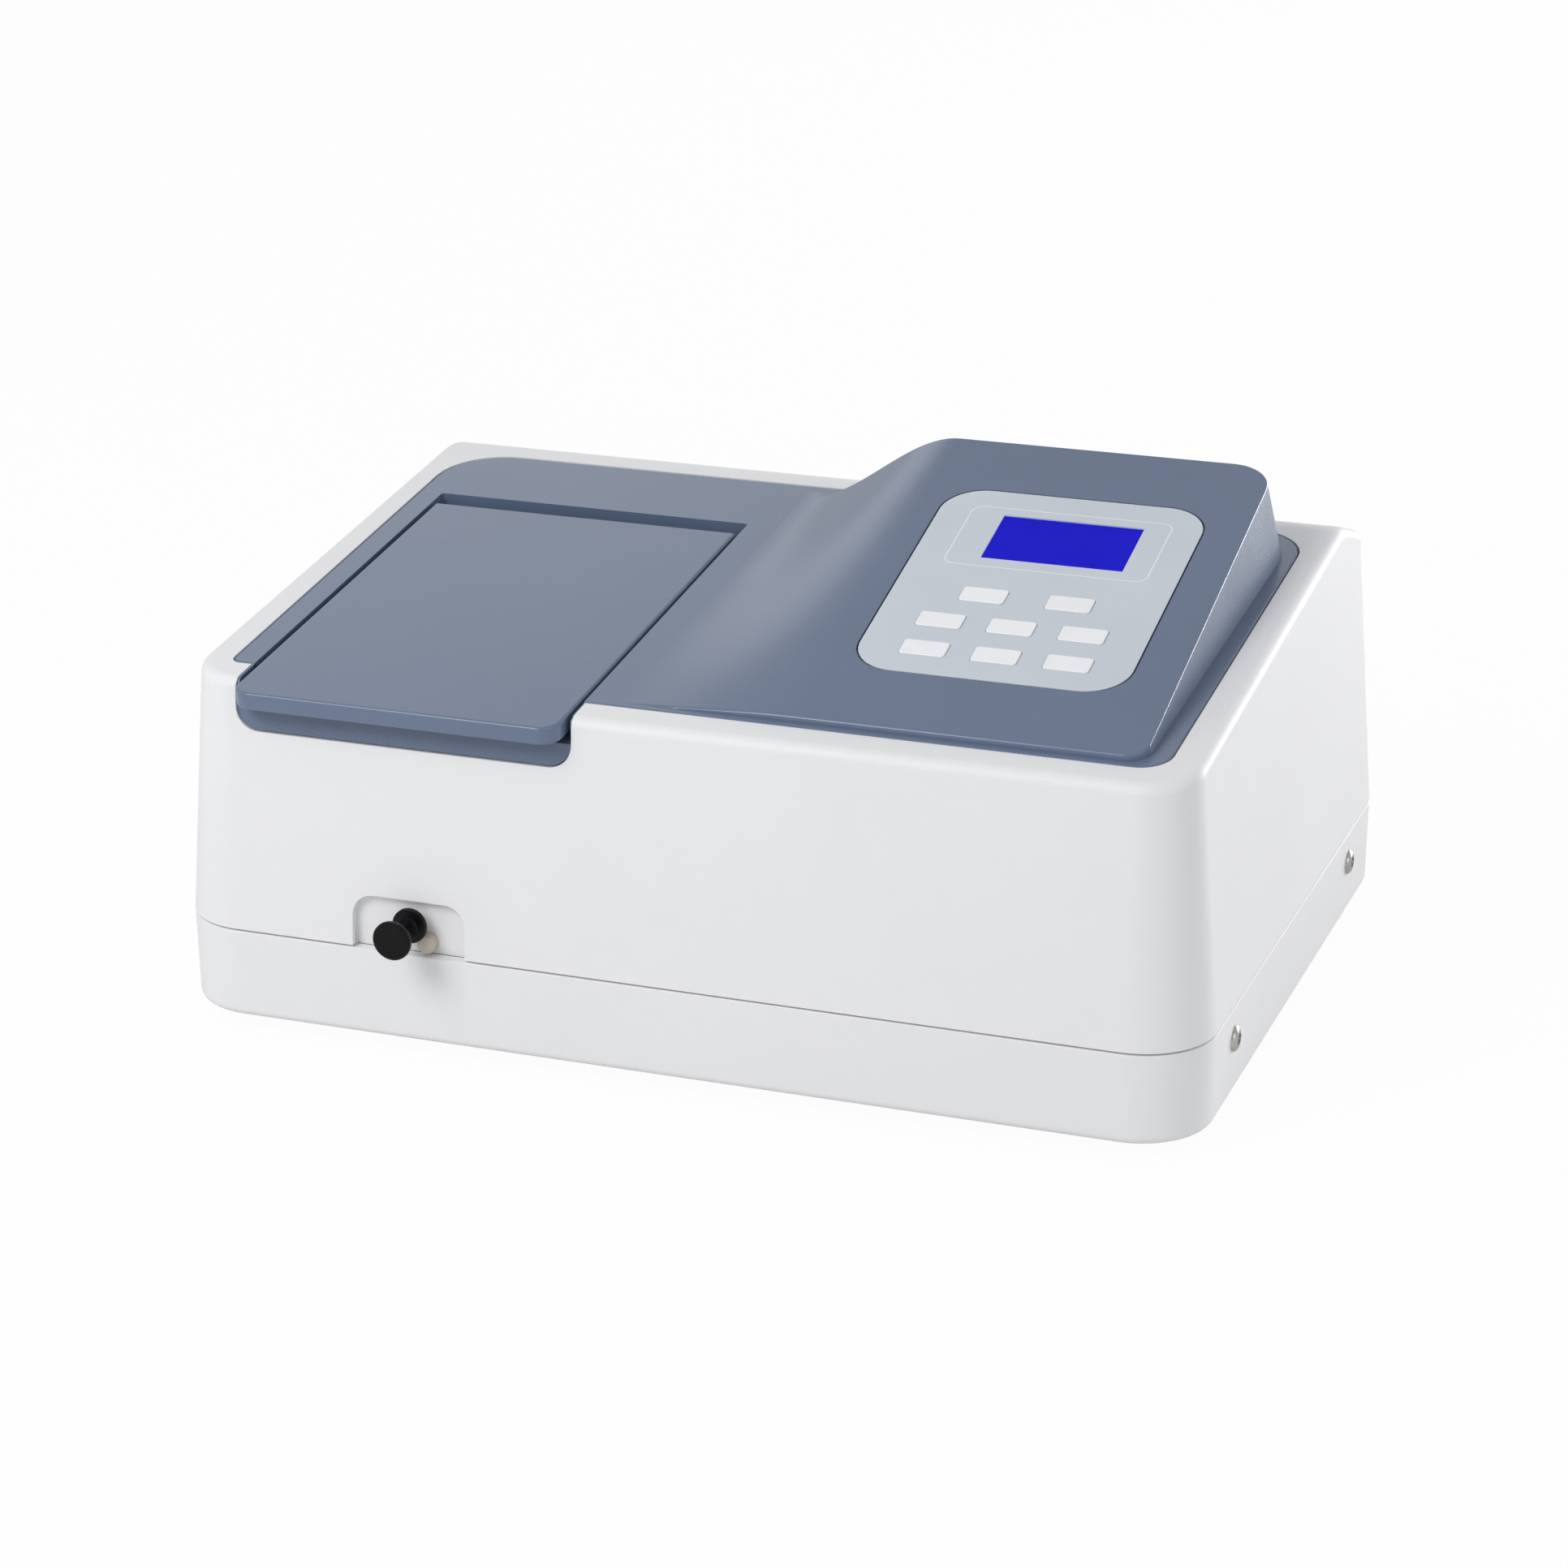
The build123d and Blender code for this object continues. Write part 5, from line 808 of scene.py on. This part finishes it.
def lit_display():
    """Blue lit display: its dot grid shows faintly through a slow, cloudy tone."""
    material, wire, shader = new_material("blue_display")
    place_of = wire.node("TexCoord", out=3)
    grid = {"distance": "CHEBYCHEV"}
    dots = wire.node("TexVoronoi", grid, Vector=place_of, Scale=1900.0, Randomness=0.0)
    cloud = wire.node("TexNoise", Vector=place_of, Scale=26.0, Detail=3.0)
    tone = (cloud - 0.5) * 0.9 + (dots - 0.25) * 0.25 + 0.5
    shade = blend_colours(tone, linear(14, 12, 190), linear(22, 20, 206))
    bump = wire.node("Bump", Strength=0.1, Distance=0.01 * MM, Height=dots)
    glass = blend_colours(tone, linear(5, 5, 40), linear(8, 8, 52))
    feed(material, shader, Base_Color=glass, Emission_Color=shade, Normal=bump)
    return feed(material, shader, Emission_Strength=0.98, Roughness=0.5, Specular_IOR_Level=0.02)


def clear_sheet():
    """Clear acrylic with a light haze and a few fine wiping marks."""
    material, wire, shader = new_material("clear_window")
    place_of = wire.node("TexCoord", out=3)
    haze = wire.node("TexNoise", Vector=place_of, Scale=60.0, Detail=5.0)
    rough = (haze - 0.5) * 0.1 + 0.08
    feed(material, shader, Roughness=rough, Alpha=(haze - 0.5) * 0.04 + 0.04)
    return feed(material, shader, Base_Color=linear(60, 62, 90), IOR=1.49)


glass_sides, glass_ends = grown(display_sides, glass_lap), grown(display_ends, glass_lap)
module = block("display_glass", glass_sides, glass_ends, (glass_base, glass_step))
pick(module, "FACE", lambda face: face.normal.z > 0.9)
bpy.ops.mesh.inset(thickness=glass_rim * MM)
bpy.ops.mesh.extrude_region_move(TRANSFORM_OT_translate={"value": (0, 0, glass_rise * MM)})
leave()
under = block("display_frame", frame_sides, frame_ends, frame_heights)
round_edges(under, upright, 2, 4)
join(module, under)
finish(module, lit_display(), "case", "display_blue", "display_module", frame_matrix=ON_CONSOLE)
pane_ends = grown(display_ends, -pane_gap)
pane = block("display_pane", grown(display_sides, -pane_gap), pane_ends, pane_heights)
round_edges(pane, lambda e: middle(e).z > -0.1, 0.2, 3)
finish(pane, clear_sheet(), "case", "window_clear", "display_window", frame_matrix=ON_CONSOLE)


# Keys: eight caps moulded in white ABS, in three rows, eased along their edges, each with a
# flange that keeps it under the console's wall and a stem that works its switch.
cap_half, cap_low, cap_high = (10.4, 5.7), -3.3, 0.7
flange_half, flange_low = (12.2, 7.5), -4.5
stem_profile = [(0.4, -4.8), (1.6, -4.8), (1.8, -4.6), (1.8, -4.4)]
key_plastic = moulded(
    "white_key_plastic", linear(250, 251, 253), roughness=0.4, grain=0.4, mottle=0.015, clouds=12
)
for number, (x, y) in enumerate(key_places, start=1):
    name = f"key_{number}"
    key = block(f"key_cap_{number}", span(cap_half[0], x), span(cap_half[1], y), (cap_low, cap_high))
    round_edges(key, upright, 1.6, 5)
    pick(key, "FACE", lambda face: face.normal.z > 0.9)
    bpy.ops.mesh.inset(thickness=1.4 * MM)
    bpy.ops.transform.translate(value=(0, 0, -0.12 * MM))
    leave()
    round_edges(key, lambda e: middle(e).z > cap_high - 0.01, 0.45, 3)
    flange_sides, flange_ends = span(flange_half[0], x), span(flange_half[1], y)
    flange = block("flange", flange_sides, flange_ends, (flange_low, cap_low))
    stem = turned("stem", stem_profile, 20)
    place(stem, Matrix.Translation(Vector((x, y, 0)) * MM))
    join(key, flange, stem)
    finish(key, key_plastic, name, "key_white", name, frame_matrix=ON_CONSOLE)


# Pull knob: a black plastic spool, turned, on the end of the steel rod that shifts the cell
# carriage. The beige plastic plug beside it closes a spare hole.
rod_x, rod_z = -119.2, 57.2
knob_end = -201.9
plug_aside, plug_height = 6.2, 47.8
knob_profile = [
    (0.5, 0.15), (5.5, 0.1), (7.6, 0.0), (8.5, 0.25), (9.0, 0.8), (9.1, 1.6), (9.0, 2.4),
    (8.5, 3.4), (7.6, 4.7), (6.4, 6.3), (5.3, 8.0), (4.5, 9.8), (4.0, 11.6), (3.8, 13.4),
    (3.8, 15.6), (4.0, 17.2), (4.6, 18.2), (7.4, 18.7), (7.9, 18.95), (8.1, 19.4), (8.1, 20.9),
    (7.9, 21.35), (7.4, 21.6), (3.1, 21.6), (3.06, 21.5), (3.06, 8),
]
plug_profile = [(0.5, 5), (3.2, 5), (4.0, 4.8), (4.4, 4.3), (4.5, 3.6), (4.5, 0.02)]
black_knob = moulded(
    "black_knob_plastic", linear(7, 7, 10), roughness=0.32, grain=0.5, mottle=0.12, clouds=8, gloss=0.2
)
beige_plastic = moulded(
    "beige_plug_plastic", linear(196, 187, 172), roughness=0.5, grain=0.3, mottle=0.05, clouds=6
)
knob = turned("spool_knob", knob_profile, 64)
knob_place = Matrix.Translation(Vector((rod_x, knob_end, rod_z)) * MM)
place(knob, knob_place @ Matrix.Rotation(-pi / 2, 4, "X"))
finish(knob, black_knob, "carriage", "knob_black", "pull_knob")
plug = turned("beige_plug", plug_profile, 40)
plug_place = Matrix.Translation(Vector((rod_x + plug_aside, pocket_floor, plug_height)) * MM)
place(plug, plug_place @ Matrix.Rotation(pi / 2, 4, "X"))
finish(plug, beige_plastic, "case", "plug_beige", "blanking_plug")


# Pieces kept as the frame has them: the compartment, the carriage, the optics and the boards.
# Each gets the finish of its real material.
def repaint(material, *names):
    """Gives frame pieces a finish."""
    for name in names:
        slots = nodes[name].data.materials
        slots.clear()
        slots.append(material)


def painted(name, colour, roughness=0.55, grain=0.5, mottle=0.08):
    """Powder-coated or anodised metal: a fine pebbled skin, a little dusty."""
    return moulded(name, colour, roughness=roughness, grain=grain, depth=0.03, mottle=mottle, clouds=30)


def circuit(name):
    """Green circuit board: tracks under the lacquer, pads and small parts."""
    material, wire, shader = new_material(name)
    place_of = wire.node("TexCoord", out=3)
    layout = {"offset": 0.37, "squash": 1.6, "squash_frequency": 3}
    tracks = wire.node("TexBrick", layout, out=1, Vector=place_of, Scale=260.0, Mortar_Size=0.03)
    pads = wire.node("TexVoronoi", Vector=place_of, Scale=420.0, Randomness=0.4)
    dust = wire.node("TexNoise", Vector=place_of, Scale=45.0, Detail=5.0)
    lacquer = blend_colours(tracks, linear(18, 74, 44), linear(32, 104, 62))
    shade = blend_colours(pads < 0.16, lacquer, linear(176, 172, 150))
    bump = wire.node("Bump", Strength=0.4, Distance=0.05 * MM, Height=tracks + (pads < 0.16) * 0.6)
    return feed(material, shader, Base_Color=shade, Roughness=dust * 0.3 + 0.28, Normal=bump)


def glassy(name, colour):
    """Quartz envelope: clear, slightly uneven."""
    material, wire, shader = new_material(name)
    place_of = wire.node("TexCoord", out=3)
    uneven = wire.node("TexNoise", Vector=place_of, Scale=90.0, Detail=3.0)
    feed(material, shader, Roughness=uneven * 0.1 + 0.02, Alpha=uneven * 0.1 + 0.3)
    return feed(material, shader, Base_Color=colour, IOR=1.46)


black_anodised = painted("black_anodised", linear(36, 36, 38), roughness=0.5)
monochromator = ("monochromator_box", "monochromator_cover", "slits")
repaint(black_anodised, "sample_well", "detector_housing", "beam_tube", *monochromator)
milled = plated("milled_aluminium", linear(206, 207, 208), roughness=0.34, streak=(60, 900, 900))
repaint(milled, "cell_carriage", "optical_bench", "lamp_house", "filter_wheel")
steel = plated("drawn_steel", linear(190, 188, 184), roughness=0.25, streak=(900, 40, 900))
repaint(steel, "pull_rod", "carriage_rails", "hinge_pins", "bench_bolts", "panel_screws")
repaint(rubbery("seal_foam", linear(28, 28, 30), grain=0.9), "lid_seal")
repaint(plated("turned_brass", linear(196, 164, 92), roughness=0.28), "rod_bush")
motor_paint = painted("motor_paint", linear(88, 90, 96), roughness=0.45)
repaint(motor_paint, "grating_motor", "filter_motor", "mirror_motor", "transformer")
silvered = plated("silvered_mirror", linear(232, 233, 236), roughness=0.06, wear=0.02)
repaint(silvered, "mirrors", "grating", "lamp_mirror")
boards = ("keypad_board", "detector_board", "main_board", "power_supply")
repaint(circuit("circuit_board"), *boards)
repaint(glassy("quartz_lamp", linear(235, 236, 240)), "halogen_lamp", "deuterium_lamp")


# Rear panel: a painted steel sheet in the back's window, with the fan behind its wire guard,
# the mains inlet, the power switch, a serial port and a fuse holder.
guard_place = (60, 169.35, 97)
guard_rings, guard_wire, eye_orbit = (11.2, 20.2, 29.3, 38.3), 0.8, 50.2
spoke_profile = [(0.5, 10), (0.8, 10.2), (0.8, 47.6), (0.5, 48)]
eye_profile = [(2.2, 0.8), (4.2, 0.8), (4.2, -0.8), (2.2, -0.8)]
sheet_paint = painted("rear_sheet_paint", linear(206, 207, 208), roughness=0.5, mottle=0.02)
repaint(sheet_paint, "rear_panel")
repaint(plated("port_shell", linear(196, 196, 194), roughness=0.3), "data_port")
black_fitting = moulded("black_fitting_plastic", linear(33, 33, 35), mottle=0.1, clouds=20)
repaint(black_fitting, "power_inlet", "switch_frame", "switch_rocker", "fuse_holder")
repaint(black_fitting, "fan_frame", "fan_rotor")
guard = []
for radius in guard_rings:
    bpy.ops.object.select_all(action="DESELECT")
    bpy.ops.mesh.primitive_torus_add(
        major_radius=radius * MM, minor_radius=guard_wire * MM, major_segments=72, minor_segments=10
    )
    guard.append(place(bpy.context.object, Matrix.Identity(4)))
for quarter in range(4):
    turn = Matrix.Rotation(radians(45 + 90 * quarter), 4, "Z")
    spoke = turned("spoke", spoke_profile, 12)
    guard.append(place(spoke, turn @ Matrix.Rotation(pi / 2, 4, "Y")))
    eye = turned("eye", eye_profile, 28)
    guard.append(place(eye, turn @ Matrix.Translation((eye_orbit * MM, 0, 0))))
guard = joined("fan_guard_wires", guard)
place(guard, Matrix.Translation(Vector(guard_place) * MM) @ Matrix.Rotation(pi / 2, 4, "X"))
finish(guard, nickel, "case", "steel", "fan_guard")


# Stage: a white floor that keeps a faint shadow, and six soft lamps. The surround is plain
# white to the camera and lights the pieces with a weaker, even glow.
bpy.ops.object.select_all(action="DESELECT")
bpy.ops.mesh.primitive_plane_add(size=30)
floor = bpy.context.object
floor.name = "floor"
paper, wire, shader = new_material("floor_paper")
path = wire.node("LightPath")
lit = wire.node("BsdfDiffuse", Color=(0.85, 0.85, 0.85, 1))
plain = wire.node("Emission", Color=(1, 1, 1, 1), Strength=1.0)
seen = Wire(paper.node_tree, path.socket.node.outputs["Is Camera Ray"])
surface = wire.node("MixShader", i0=seen * 0.96, i1=lit, i2=plain)
paper.node_tree.links.new(surface.socket, paper.node_tree.nodes["Material Output"].inputs["Surface"])
paper.node_tree.nodes.remove(shader)
floor.data.materials.append(paper)

world = bpy.data.worlds.new("surround")
bpy.context.scene.world = world
world.use_nodes = True
sky = Wire(world.node_tree)
path = sky.node("LightPath")
outs = path.socket.node.outputs
ray_kinds = ("Is Camera Ray", "Is Glossy Ray", "Is Transmission Ray")
rays = [Wire(world.node_tree, outs[name]) for name in ray_kinds]
shown = rays[0].math("MAXIMUM", rays[1] * 0.1).math("MAXIMUM", rays[2])
ambient = sky.node("Background", Color=(0.97, 0.98, 1, 1), Strength=0.52)
white = sky.node("Background", Color=(1, 1, 1, 1), Strength=1.0)
both = sky.node("MixShader", i0=shown, i1=ambient, i2=white)
world.node_tree.links.new(both.socket, world.node_tree.nodes["World Output"].inputs["Surface"])


def lamp(name, place_at, aim, size, power):
    """A soft rectangular lamp aimed at a point, places in metres."""
    light = bpy.data.lights.new(name, "AREA")
    light.shape = "RECTANGLE"
    light.size, light.size_y = size
    light.energy = power
    holder = bpy.data.objects.new(name, light)
    bpy.context.scene.collection.objects.link(holder)
    holder.location = place_at
    holder.rotation_euler = (Vector(aim) - Vector(place_at)).to_track_quat("-Z", "Y").to_euler()


lamp("front_lamp", (-0.7, -1.4, 1.4), (0, -0.1, 0.1), (0.8, 0.8), 16)
lamp("side_lamp", (2.6, -0.6, 0.8), (0, 0, 0.1), (1.4, 1.2), 6)
lamp("low_lamp", (1.5, 2.6, 0.22), (0.1, 0, 0.15), (1.5, 0.5), 34)
lamp("corner_lamp", (1.2, 2.4, 0.6), (0.1, 0, 0.15), (1.2, 0.6), 12)
lamp("back_lamp", (-1.1, 2.6, 1.3), (0, 0, 0.15), (2.6, 1.0), 5)
lamp("left_lamp", (-2.6, -0.3, 0.9), (0, 0, 0.1), (1.4, 1.2), 3)


# Camera: it looks from the photograph's own angle, with its small roll, from about two metres
# away. Its place, direction and lens were worked out from the case's straight edges there.
azimuth, elevation, roll = radians(19.96), radians(20.38), radians(-0.25)
camera_place, focal_length, film_width = (0.6268, -1.7382, 0.77328), 96.68, 36
back = Vector((sin(azimuth) * cos(elevation), -cos(azimuth) * cos(elevation), sin(elevation)))
right = Vector((cos(azimuth), sin(azimuth), 0))
up = back.cross(right)
turned_right = right * cos(roll) + up * sin(roll)
turned_up = up * cos(roll) - right * sin(roll)
camera_data = bpy.data.cameras.new("camera")
camera_data.sensor_width = film_width
camera_data.lens = focal_length
camera = bpy.data.objects.new("camera", camera_data)
bpy.context.scene.collection.objects.link(camera)
axes = Matrix((turned_right, turned_up, back)).transposed().to_4x4()
camera.matrix_world = Matrix.Translation(camera_place) @ axes
bpy.context.scene.camera = camera
bpy.context.scene.view_settings.view_transform = "Standard"
